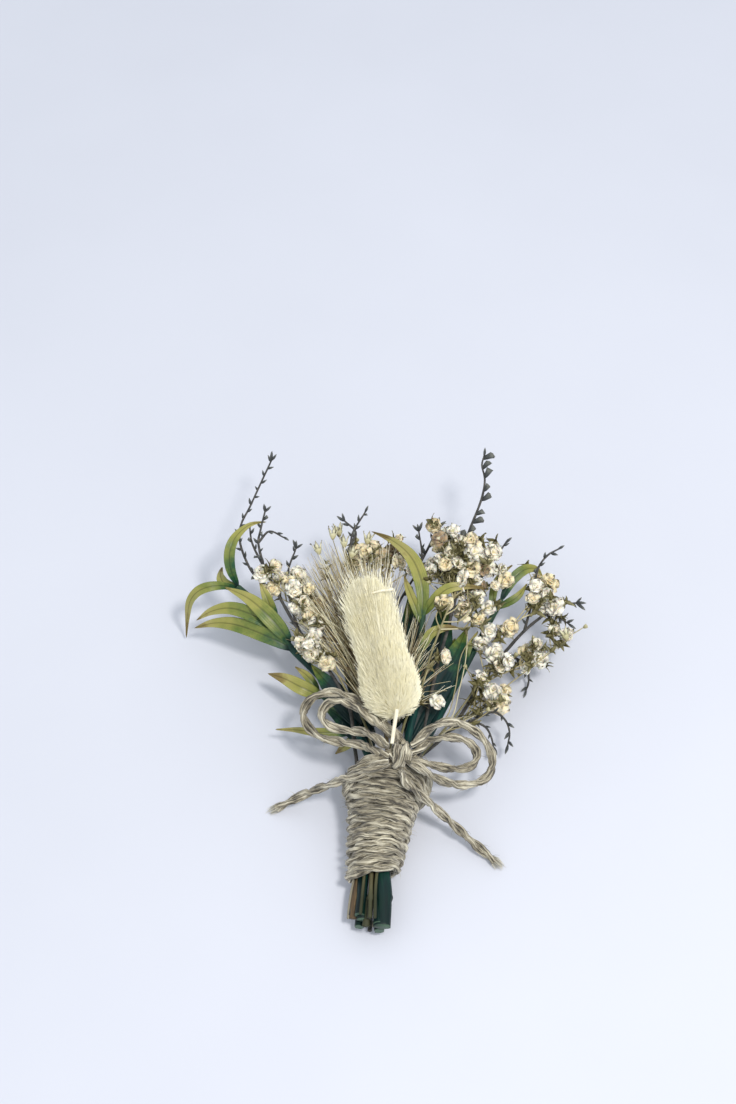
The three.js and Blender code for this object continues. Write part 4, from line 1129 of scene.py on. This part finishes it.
# %% Finishes and shapes of sea lavender
dark_twig, tree, shader = new_finish("dark twig", Roughness=0.8)
bark = noisy(own_place(), 900.0, 4.0)
paint(ramp(bark, (0.3, 44, 44, 44), (0.6, 78, 76, 72), (0.8, 120, 112, 100)))
relief(bark, 0.5, 0.0001)

husk_grey, tree, shader = new_finish("papery husk", Roughness=0.75)
paper = noisy(own_place(), 1400.0, 4.0)
mixed = sums("MULTIPLY_ADD", stored("share"), 0.5, sums("MULTIPLY", paper, 0.5))
paint(ramp(mixed, (0.2, 34, 37, 38), (0.5, 62, 66, 66), (0.8, 124, 126, 118)))
relief(paper, 0.5, 0.00012)


def husk_mesh(title, profile, sides, wobble, lobes, bend):
    points, faces = lathed(profile, sides, wobble, lobes)
    reach = points[:, 2] / points[:, 2].max()
    points[:, 0] += bend * MM * reach**2
    return mesh_of(title, [(points, faces)], husk_grey, {"share": reach})


BELL_OUTSIDE = [(0, 0.12), (0.4, 0.32), (1.0, 0.5), (1.7, 0.6), (2.4, 0.74)]
BELL_INSIDE = [(2.1, 0.5), (1.5, 0.3)]
SCALE_PROFILE = [(0, 0.12), (0.5, 0.34), (1.1, 0.3), (1.8, 0.05)]
BUD_PROFILE = [(0, 0.12), (0.6, 0.32), (1.4, 0.42), (2.2, 0.3), (2.8, 0.06)]
HUSKS = shape_box(
    "husk",
    husk_mesh("bell", BELL_OUTSIDE + BELL_INSIDE, 10, 0.16, 5, 0.6),
    husk_mesh("scale", SCALE_PROFILE, 7, 0.1, 3, 0.3),
    husk_mesh("bud", BUD_PROFILE, 8, 0.08, 3, 0.4),
)

# %% Stems and twigs of sea lavender
LAVENDER = {
    "sea_lavender_left": dict(
        stem="-5 -18 12.4, -6 -10 13.6, -11 0 14.2, -18 10 15, -23.4 19.6 16.6",
        twigs=[
            (
                "-23.4 19.6 16.6, -28.5 23.6 17.4, -31 28 18, -32.6 33 19, -32.4 37 19.8, -30.5 41.5 20.6, "
                "-28 48 21.6, -25.5 54.5 22.6"
            ),
            "-23.4 19.6 16.6, -26.6 26 17.8, -29.6 32 19.4, -30.2 35.6 20.4",
            "-26.6 26 17.8, -28 31.2 20.4, -27.6 34.6 20.8, -26.6 39.6 21.8",
            "-28 31.2 20.4, -25.4 34.2 21, -22 32.8 20.4",
            "-18 10 15, -20.2 18 14.6, -21 27 14.6, -19.2 33 15.8",
        ],
    ),
    "sea_lavender_top": dict(
        stem="2 -12 10.8, 0 5 12.6, -4 18 15, -6.6 28 17.6",
        twigs=[
            "-6.6 28 17.6, -6 31.5 19.6, -5.6 34 20.4, -2.6 39.5 21.4",
            "-6 31.5 19.6, -4.8 34.4 20.2, -7.6 37.6 20.6",
            "0 5 12.6, 5.4 18 14.6, 10.8 28 17.6, 10.2 34.4 21",
            "10.8 28 17.6, 13 32 19, 14.6 35.6 20.8",
        ],
    ),
    "sea_lavender_tall": dict(
        stem="11.4 -12 12, 14 0 14.4, 17.4 12 17.4, 20.2 24 20.8, 21 29.5 22.6",
        twigs=[
            (
                "21 29.5 22.6, 22.2 32.8 23.8, 24 37 25.2, 25.4 41 26.4, 26 45 27.4, 25.4 48.6 28.2, "
                "26 51 28.8"
            ),
            "20.2 24 20.8, 24.6 27.4 20.6, 29 28.6 20.6, 30.8 31 20.8",
            "17.4 12 17.4, 15.8 20 19.4, 14.6 27.6 21.6, 14 34 22",
        ],
    ),
    "sea_lavender_low_right": dict(
        stem="10 -17 3, 17 -10.6 4, 24 -0.4 6.4, 29.6 7 8.4, 35 12.4 11, 39.6 16 12.4",
        twigs=[
            "29.6 7 8.4, 33.6 7 7, 35.8 5.4 4.6, 36.2 3.6 2.4, 35.6 2 0.9",
            "39.6 16 12.4, 43.4 18.6 13, 47.6 18.6 13.6",
            "39.6 16 12.4, 42.6 15.4 12.6, 45.4 13.4 12.6",
            "35 12.4 11, 37.2 20 13, 38.6 26.4 16.8, 41 29.4 18, 43.6 31 18.2",
            "17 -10.6 4, 21.6 -10.6 8.4, 25 -12 8.6, 26.4 -14 7.4, 27 -15.8 5.6",
            "21.6 -10.6 8.4, 27.2 -9 10, 29.8 -11 9.4, 30.6 -13.4 8, 30.2 -15.4 6",
        ],
    ),
}

# %% Husks along a twig
BELL, SCALE, BUD = 0, 1, 2
TUFTS = ((0.05,), (-0.4, 0.3), (-0.5, 0.1, 0.6))
BELL_STEP, SCALE_STEP = 2.9, 2.1
BELLS_AT_FOOT = [0.1, 0.7, 1.3]
SMALL_BELL, SMALL_BELL_CHANCE = 0.55, 0.15
draw = np.random.default_rng(17)


def husks_on(route, bells):
    """Bells on the twig's right side only, or scales on each side in turn, and buds at the tip."""
    line = curved(route, 8)
    far = np.concatenate([[0], np.cumsum(np.linalg.norm(np.diff(line, axis=0), axis=1))])
    spots = []
    step = BELL_STEP if bells else SCALE_STEP
    reaches = np.arange(step * 0.8, far[-1] - 0.4, step)
    if bells:
        reaches = np.concatenate([BELLS_AT_FOOT, reaches + draw.normal(0, 0.35, len(reaches))])
    for number, reach in enumerate(reaches):
        pair = (reach, reach + 0.5)
        place, ahead = (np.array([np.interp(r, far, line[:, k]) for k in range(3)]) for r in pair)
        tangent = unit(ahead - place)
        side, normal = sides_of(tangent, FRONT)
        way = -1 if bells and number >= len(BELLS_AT_FOOT) or number % 2 else 1
        aim = tangent * (0.95 if bells else 0.9) + way * side * draw.uniform(0.6, 0.9)
        aim = unit(aim + normal * draw.uniform(-0.2, 0.6))
        aim[2] = max(aim[2], -0.2)
        size = draw.uniform(0.75, 1.15) if bells else draw.uniform(0.7, 1.1)
        kind = BELL if bells or draw.random() < SMALL_BELL_CHANCE else SCALE
        size *= SMALL_BELL if kind == BELL and not bells else 1
        spots.append((place, aim, draw.uniform(0, 6), size, kind, draw.random()))
    tangent = unit(line[-1] - line[-3])
    side, normal = sides_of(tangent, FRONT)
    for spread in TUFTS[0] if bells else TUFTS[int(draw.integers(3))]:
        aim = unit(tangent + side * (spread + draw.uniform(-0.15, 0.15)) + normal * draw.uniform(-0.2, 0.35))
        tip = line[-1] - 0.3 * tangent
        spots.append((tip, aim, draw.uniform(0, 6), draw.uniform(0.7, 1.0), BUD, draw.random()))
    return spots


# %% Make the sea lavender
for node, plant in LAVENDER.items():
    routes = [drawn(twig) for twig in plant["twigs"]]
    thick = [(0.5, 0.36)] + [(0.34, 0.2)] * len(routes)
    runs = [bundled(node, plant["stem"]), *routes]
    twigs = stems_of(node + "_twigs", runs, thick, dark_twig, Sides=6, Knobbles=0.5, Grain=700.0)
    spots = []
    for number, route in enumerate(routes):
        spots += husks_on(route, node == "sea_lavender_tall" and number == 0)
    husks = set_out(node + "_husks", HUSKS, husk_grey, spots)
    belongs("sea_lavender", twigs, husks, node=node)
    print(node, "has", len(spots), "husks")

# %% [markdown]
# ## Baby's breath
# Each flower is a double one, four millimetres wide, of many small ruffled petals on a
# thin straw-pale stalk. Five heads are modelled petal by petal, and a recipe sets them
# out, each turned, sized and toned differently. Most are creamy white, some have
# yellowed and a few have dried brown. A small cup holds each flower from below, some
# stalks end in an empty star-shaped cup, and narrow dry leaflets sit along the stalks.

# %% The finish of petals
petal_white, tree, shader = new_finish(
    "dried petal", Roughness=0.9, Sheen_Weight=0.2, Subsurface_Weight=0.1, Subsurface_Scale=0.0003
)
reach, tone = stored("share"), stored("tone")
fresh = ramp(reach, (0.0, 226, 206, 160), (0.4, 250, 238, 212), (1.0, 255, 250, 236))
aged = ramp(reach, (0.0, 190, 162, 106), (0.5, 236, 216, 168), (1.0, 250, 236, 200))
withered = ramp(reach, (0.0, 112, 88, 62), (1.0, 178, 156, 122))
colour = blend(ramp(tone, (0.35, 0, 0, 0), (0.75, 255, 255, 255)), fresh, aged)
paint(blend(ramp(tone, (0.88, 0, 0, 0), (0.92, 255, 255, 255)), colour, withered))
relief(noisy(own_place(), 900.0, 3.0), 0.25, 0.0001)

# %% The finishes of stalks and cups
pale_stalk, tree, shader = new_finish("pale dried stalk", Roughness=0.7)
mixed = sums("MULTIPLY_ADD", stored("tone"), 0.6, sums("MULTIPLY", noisy(own_place(), 500.0), 0.4))
colour = ramp(mixed, (0.1, 120, 110, 76), (0.5, 176, 166, 126), (0.9, 216, 208, 176))
stout = ramp(sums("MULTIPLY", stored("thick"), 1000.0), (0.18, 0, 0, 0), (0.3, 255, 255, 255))
paint(stained(blend(stout, colour, shade(112, 108, 72)), 110, 122, 100))

cup_green, tree, shader = new_finish("dried flower cup", Roughness=0.7)
mixed = sums("MULTIPLY_ADD", stored("share"), 0.6, sums("MULTIPLY", stored("tone"), 0.4))
paint(ramp(mixed, (0.1, 104, 98, 58), (0.5, 196, 190, 148), (0.72, 224, 220, 188), (0.95, 96, 84, 60)))

# %% One flower, petal by petal
# A petal's steps are pairs of share of its length and width.
# A whorl is its petals, tilt, length and first turn.
PETAL_STEPS = [(0.06, 0.2), (0.42, 0.75), (0.74, 1.0), (0.98, 0.8)]
POINTED = [(0.06, 0.7), (0.4, 1.0), (0.75, 0.5), (1.0, 0.06)]
WHORLS = [(5, 1.4, 2.6, 0.0), (4, 0.98, 2.2, 0.5), (3, 0.5, 1.6, 0.25)]
PETAL_WIDE, PETAL_CUPPED, PETAL_RUFFLE = 2.7, 0.16, 0.3
OPENNESS = [1.0, 1.1, 0.9, 0.7, 0.45]


def petal_skin(turn, tilt, long, wide, luck, steps=PETAL_STEPS):
    """A petal that leaves the middle of the flower, bends outwards, and has a ruffled end."""
    out = np.array([math.cos(turn), math.sin(turn), 0])
    side = np.array([-math.sin(turn), math.cos(turn), 0])
    rings = []
    for share, width in steps:
        bend = tilt * (0.6 + 0.5 * share)
        middle = long * share * (out * math.sin(bend) + UP * math.cos(bend))
        normal = UP * math.sin(bend) - out * math.cos(bend)
        half = wide / 2 * width
        ruffle = PETAL_RUFFLE * share * luck.uniform(-1, 1, 2)
        left = middle + side * half + normal * (PETAL_CUPPED * width + ruffle[0])
        right = middle - side * half + normal * (PETAL_CUPPED * width + ruffle[1])
        rings.append([left, middle + normal * 0.03, right, middle - normal * 0.05])
    points, faces = skin(rings)
    shares = np.repeat([share for share, _ in steps], 4)
    return points * MM, faces, [*shares, 0.0, 1.0]


def flower_mesh(seed, openness):
    luck = np.random.default_rng(seed)
    petals = []
    for count, tilt, long, offset in WHORLS:
        for k in range(count):
            turn = (k + offset + luck.uniform(-0.2, 0.2)) / count * FULL_TURN
            tilted = tilt * openness * luck.uniform(0.85, 1.15)
            length = long * luck.uniform(0.85, 1.1)
            petals.append(petal_skin(turn, tilted, length, PETAL_WIDE * luck.uniform(0.8, 1.1), luck))
    shares = np.concatenate([petal[2] for petal in petals])
    return mesh_of("flower", [petal[:2] for petal in petals], petal_white, {"share": shares})


FLOWERS = shape_box("flower", *(flower_mesh(40 + k, openness) for k, openness in enumerate(OPENNESS)))
print("modelled", len(OPENNESS), "flower heads")

# %% Cups and leaflets
PLAIN_CUP = [(-1.5, 0.18), (-1.2, 0.5), (-0.6, 0.72), (0.1, 0.8), (-0.1, 0.5)]
STAR_CUP = [(-1.5, 0.16), (-1.2, 0.4), (-0.6, 0.72), (-0.1, 0.94), (-0.2, 0.8), (-0.8, 0.5)]
LEAFLETS = [(0.0, 2.6), (2.3, 1.9), (4.3, 2.2)]
LOBES = 5


def cup_mesh(title, skins, low, high):
    """Cups and leaflets; their fact is the height's share from low to high, in millimetres."""
    heights = np.vstack([points for points, _ in skins])[:, 2] / MM
    return mesh_of(title, skins, cup_green, {"share": (heights - low) / (high - low)})


def star_cup():
    """The skins of an empty cup: a small bell with five pointed lobes that open outwards."""
    luck = np.random.default_rng(77)
    skins = [lathed(STAR_CUP, 10, 0.06, LOBES)]
    for k in range(LOBES):
        turn = FULL_TURN * k / LOBES
        out = np.array([math.cos(turn), math.sin(turn), 0])
        points, faces, _ = petal_skin(turn, 0.3, 2.3, 1.0, luck, POINTED)
        skins.append((points + (out * 0.74 - UP * 0.45) * MM, faces))
    return skins


luck = np.random.default_rng(78)
leaflets = [petal_skin(turn, 0.9, long, 1.0, luck, POINTED)[:2] for turn, long in LEAFLETS]
CUP, STAR, BRACT = 0, 1, 2
CUPS = shape_box(
    "cup",
    cup_mesh("cup", [lathed(PLAIN_CUP, 10, 0.12, LOBES)], -1.6, 1.0),
    cup_mesh("star cup", star_cup(), -1.6, 1.8),
    cup_mesh("bract", leaflets, 0, 1 / 0.12),
)

# %% The sprays of baby's breath
# Companions are the chances of more flowers beside a drawn one, and ages the limits of their tone.
BREATH = {
    "babys_breath_left": dict(
        stem="-2.6 -15 15.6, -8 -4 15.4, -12 5 15.4, -15.6 12 16, -18.6 19 17",
        flowers=(
            "-27 23 19.6, -24 25.5 19, -22.5 23.5 17, -18.5 23.8 17.4, -20.5 21 18, -19 18 18.4, "
            "-17 16.2 18, -14 16.2 16.6, -15 12.8 17.4, -13.4 9.6 17, -14.5 6.6 17.4, -17 4.6 17, "
            "-14.8 2.6 16.8, -11.5 0.2 16.4"
        ),
        companions=(0.5, 0.2), ages=(0.0, 0.9),
        wisps=10, bracts=90,
    ),
    "babys_breath_top": dict(
        stem="3.6 -12 8.4, 3.4 5 11, 1.4 18 14.4, -0.6 27 16.4",
        flowers="-3.4 30.4 17, -0.8 31.4 17, 1.6 29.6 17.6, 4 31.4 17, 5.6 27.6 17.4",
        cups="-13.8 30 19.6, -10.3 34.4 19.6, -7.6 32 19.6, -5.5 28.6 20, -9 36 18.6, -2 34 18",
        companions=(0.4,), ages=(0.6, 1.0),
        wisps=22, bracts=50,
    ),
    "babys_breath_right": dict(
        stem="6.8 -14 16, 9.6 -9 17.2, 12.8 2 18.6, 16.8 13 20, 20 21 21",
        flowers=(
            "17 32 22.6, 19 28.5 24, 15.4 29.5 24, 15.5 25 22.6, 12.5 23 20.4, 23 25.5 25, 27.5 26.6 23.2, "
            "25 22.5 22, 22.2 22.4 23, 19 22.6 23, 24 19.8 19.6, 16.4 21.6 20, 30.5 21.5 18.8, "
            "23.5 16.5 19, 26.2 14.6 17.6, 16 14.6 20, 20.4 13.6 18.4, 24 11.4 17.4, 15.4 1 18, 14 -10.1 17"
        ),
        stalks=[
            "12.4 -14.6 13, 15.9 -12.5 13.8, 18.1 -5.4 14, 19.9 3.9 14.6, 23.1 8.6 16",
            "12.8 -15 12.6, 16.9 -12.7 13.4, 19 -5.6 13.8, 20.9 3.6 14.2, 21.4 11.6 16.6",
        ],
        sparse_below=22.5,
        companions=(0.9, 0.7, 0.3), ages=(0.1, 1.0),
        wisps=18, bracts=260,
    ),
    "babys_breath_low_right": dict(
        stem="10.4 -17.4 4.8, 17.8 -8.8 6.4, 24.4 0.4 9.2, 29.2 9 11.4, 33.6 15 13",
        flowers=(
            "41 22.5 16.4, 38.4 23 13.6, 40.4 19.4 15.4, 37 18 16, 42 16.6 15, 26.4 10.4 14, 31.5 11.5 14, "
            "28 5 13, 28.5 1.6 12, 24.5 -1.5 12.4, 27 -3.8 11, 28.6 -6.4 9.6, 37.6 8 11.4, 38.4 5 10.6, "
            "45 10.5 12"
        ),
        cups="44.2 9.4 14",
        companions=(0.6, 0.3), ages=(0.0, 0.84),
        wisps=20, bracts=170,
    ),
}

# %% Flowers and stalks of a spray
SPARSE = 0.2
SPANS_IN_WRAP, SPAN_STEPS = 3, 6
CALYX_BACK, FLOWER_BACK = 1.3, 0.6
STALK_DROP, STALK_REACH = 3.5, 7.5
draw = np.random.default_rng(23)


def flowers_of(spray):
    """Each drawn flower and, by chance, smaller companions close by, as the buds open in clusters."""
    heads = []
    for middle in map(np.array, drawn(spray["flowers"])):
        heads.append((middle, 1.0, False))
        fewer = SPARSE if middle[1] < spray.get("sparse_below", -99) else 1
        for likely in spray["companions"]:
            step = unit(draw.normal(0, 1, 3) * [1, 1, 0.6]) * draw.uniform(2.8, 4.2)
            if draw.random() < likely * fewer:
                heads.append((middle + step, draw.uniform(0.7, 0.95), False))
    empty_cups = drawn(spray["cups"]) if "cups" in spray else []
    return heads + [(np.array(middle), 1.0, True) for middle in empty_cups]


def stalk_to(foot, calyx):
    bow = draw.normal(0, 0.9, 3)
    return [foot, foot * 0.6 + calyx * 0.4 + bow, foot * 0.15 + calyx * 0.85 + 0.3 * bow, calyx]


def fork_for(calyx, forks, drop, reach):
    """The point of the spray, lower down by the drop, that lies closest to the wished reach of a stalk."""
    below = [fork for fork in forks if fork[1] < calyx[1] - drop] or [forks[0]]
    return min(below, key=lambda fork: abs(np.linalg.norm(fork - calyx) - reach))


def heads_on(heads, forks, runs, ages):
    """Stalks to all heads, from the lowest up, and the rows that set out their flowers and cups."""
    spots, cups = [], []
    for middle, size, empty in sorted(heads, key=lambda head: head[0][1]):
        aim = unit([draw.normal(0, 0.45), -0.4 + draw.normal(0, 0.35), 0.85])
        if empty:
            aim = unit([draw.normal(0, 0.35), 0.9, 0.25])
        calyx = middle - aim * CALYX_BACK
        route = stalk_to(fork_for(calyx, forks, STALK_DROP, STALK_REACH), calyx)
        if empty:
            route = [calyx * [0.55, 1, 1] - [0, 15, 4], calyx * [0.85, 1, 1] - [0, 5, 1.2], calyx]
        runs.append(route)
        forks.append(route[1])
        tone = draw.uniform(*ages)
        small = 1.0 if empty else 0.8 * size
        cups.append((middle, aim, draw.uniform(0, 6), small, STAR if empty else CUP, tone))
        if not empty:
            kind = int(draw.choice(len(OPENNESS), p=[0.3, 0.25, 0.2, 0.15, 0.1]))
            turn, size = draw.uniform(0, 6), size * draw.uniform(0.8, 1.1)
            spots.append((middle - aim * FLOWER_BACK, aim, turn, size, kind, tone))
    return spots, cups


def wisp(middles, forks):
    """A thin stalk without a flower, near a drawn one, and the small cup at its end."""
    at = np.array(middles[int(draw.integers(len(middles)))])
    at += draw.normal(0, 1, 3) * [2.6, 2.6, 1.2]
    foot = fork_for(at, forks, 3, 6)
    route = stalk_to(foot, at)
    turn, size, tone = draw.uniform(0, 6), draw.uniform(0.45, 0.75), draw.uniform(0, 0.5)
    return route, (at, unit(at - foot), turn, size, CUP, tone)


def leaflet(runs):
    """A tuft of leaflets somewhere on the upper part of a stalk."""
    stalk = curved(runs[int(draw.integers(1, len(runs)))], 5)
    at = stalk[int(draw.uniform(0.35, 0.95) * len(stalk))] + draw.normal(0, 0.3, 3)
    aim = unit([draw.normal(0, 0.6), draw.normal(0.3, 0.5), 0.6])
    return at, aim, draw.uniform(0, 6), draw.uniform(0.7, 1.25), BRACT, draw.uniform(0, 0.3)


# %% Make the baby's breath
for node, spray in BREATH.items():
    runs = [bundled(node, spray["stem"])]
    forks = list(curved(runs[0], SPAN_STEPS)[SPANS_IN_WRAP * SPAN_STEPS :])
    spots, cups = heads_on(flowers_of(spray), forks, runs, spray["ages"])
    for _ in range(spray["wisps"]):
        route, cup = wisp(drawn(spray["flowers"]), forks)
        runs.append(route)
        cups.append(cup)
    cups += [leaflet(runs) for _ in range(spray["bracts"])]
    runs += [drawn(stalk) for stalk in spray.get("stalks", [])]
    thick = [(0.4, 0.2)] + [(0.17, 0.1)] * (len(runs) - 1)
    stalks = stems_of(node + "_stalks", runs, thick, pale_stalk, Sides=5, Grain=600.0)
    flowers = set_out(node + "_flowers", FLOWERS, petal_white, spots)
    calyxes = set_out(node + "_cups", CUPS, cup_green, cups)
    belongs("babys_breath", flowers, stalks, calyxes, node=node)
    print(node, "has", len(spots), "flowers")

# %% [markdown]
# ## Cut ends
# Below the wrap the moulded stems are wide and flat, with a step where a leaf
# once clasped them, and a brown dry stem and a few thin ones lie beside them.
# Each is a skin over flattened rings, narrower where it enters the wrap.

# %% The finish of the brown stem
brown_stem, tree, shader = new_finish("brown dry stem", Roughness=0.75)
streaks = streaked(2600, 200)
paint(ramp(streaks, (0.3, 50, 40, 34), (0.55, 96, 76, 48), (0.75, 150, 128, 88)))
relief(streaks, 0.5, 0.0002)

# %% One flat stem
END_ROWS, END_SIDES = 26, 16
RIBS, RIB_HIGH = 5, 0.05


def end_skin(route, widths, height):
    """A flattened stem along a route; widths are pairs of share and half width in millimetres."""
    line = curved(drawn(route), 12)
    rows = np.linspace(0, len(line) - 1, END_ROWS).astype(int)
    shares, halves = zip(*widths)
    turns = np.linspace(0, FULL_TURN, END_SIDES, endpoint=False)
    ribs = 1 + RIB_HIGH * np.cos(RIBS * turns + 1)
    rings = []
    for number, row in enumerate(rows):
        side, normal = sides_of(unit(line[min(row + 1, len(line) - 1)] - line[max(row - 1, 0)]), UP)
        half = np.interp(number / (END_ROWS - 1), shares, halves)
        across, up = np.cos(turns) * ribs * half, np.sin(turns) * ribs * min(height, half)
        rings.append([line[row] + side * a + normal * u for a, u in zip(across, up)])
    points, faces = skin(rings)
    return placed(points), faces, (points[:, 1] - points[:, 1].min()) * MM


# %% Make the cut ends
STEPPED = [(0, 1.9), (0.36, 1.85), (0.4, 2.2), (0.44, 2.05), (0.7, 1.95), (1, 1.5)]
EVEN = [(0, 1.12), (0.4, 1.15), (0.8, 1.1), (1, 0.9)]
KNOTTED = [(0, 0.5), (0.33, 0.5), (0.36, 0.75), (0.42, 0.5), (1, 0.4)]
CUT_ENDS = {
    "cut_ends_green": (stem_green, [
        ("1.3 -59.7 6.2, 1.6 -54 6.3, 1.3 -48 6.4, 0.9 -44 6.5", STEPPED, 1.35),
        ("-3.1 -57.9 5.6, -3 -54 5.9, -2.8 -48 6.2, -2.4 -44 6.4", EVEN, 0.95),
    ]),
    "cut_ends_brown": (brown_stem, [
        ("-4.9 -57.2 4.7, -4.7 -54 4.9, -4 -49 5.2, -3.2 -44 5.6", [(0, 0.85), (0.6, 0.8), (1, 0.5)], 0.6),
    ]),
    "cut_ends_grey": (pale_stalk, [
        ("-1.3 -58.4 8, -1.2 -54 8, -1 -48 7.8, -0.8 -44 7", KNOTTED, 0.6),
        ("-2.2 -59.4 5.6, -1.9 -57 6, -1.7 -53 6.2", [(0, 0.85), (1, 0.6)], 0.7),
    ]),
    "cut_ends_pale": (frayed_jute, [
        ("-6 -57 4.2, -5.8 -54 4.4, -5.2 -50 4.8, -4.2 -46 5.2", [(0, 0.32), (1, 0.25)], 0.25),
        ("-0.2 -59.5 5.6, -0.1 -57.6 6", [(0, 0.7), (0.6, 0.6), (1, 0.2)], 0.6),
    ]),
}
for name, (finish, rows) in CUT_ENDS.items():
    skins = [end_skin(*row) for row in rows]
    along = np.concatenate([reach for _, _, reach in skins])
    facts = {"along": along, "share": 0 * along}
    belongs("leaves", new_piece(name, mesh_of(name, [piece[:2] for piece in skins], finish, facts)))
    print(name, "has", len(skins), "stems")

# %% [markdown]
# ## Floor and light
# The posy lies on a plain pale tabletop under one soft lamp. It hangs high up, to the right and on the side
# of the cut ends, so the shadows fall close by, to the left and upwards. An even pale world fills them.

# %% Floor
tabletop, tree, shader = new_finish("pale tabletop", Roughness=0.55)
paint(ramp(noisy(own_place(), 9.0, 3.0), (0.3, 206, 209, 219), (0.7, 210, 213, 223)))
FLOOR = 3.0
mesh = bpy.data.meshes.new("floor")
corners = [(x * FLOOR, y * FLOOR, 0) for x, y in ((-1, -1), (1, -1), (1, 1), (-1, 1))]
mesh.from_pydata(corners, [], [(0, 1, 2, 3)])
mesh.materials.append(tabletop)
new_piece("floor", mesh)
print("the floor is", 2 * FLOOR, "metres wide")

# %% Light
lamp = bpy.data.objects.new("window lamp", bpy.data.lights.new("window lamp", "AREA"))
lamp.data.energy, lamp.data.size, lamp.data.color = 2.45, 0.1, (1.0, 0.965, 0.92)
lamp.location = (0.18, -0.19, 0.62)
lamp.rotation_euler = (-lamp.location).to_track_quat("-Z", "Y").to_euler()
bpy.context.scene.collection.objects.link(lamp)

world = bpy.data.worlds.new("studio")
world.use_nodes = True
sky = next(n for n in world.node_tree.nodes if n.type == "BACKGROUND")
sky.inputs["Color"].default_value = (0.91, 0.95, 1.0, 1)
sky.inputs["Strength"].default_value = 0.9
bpy.context.scene.world = world
bpy.context.scene.view_settings.view_transform = "Standard"
print("lamp at", tuple(lamp.location))
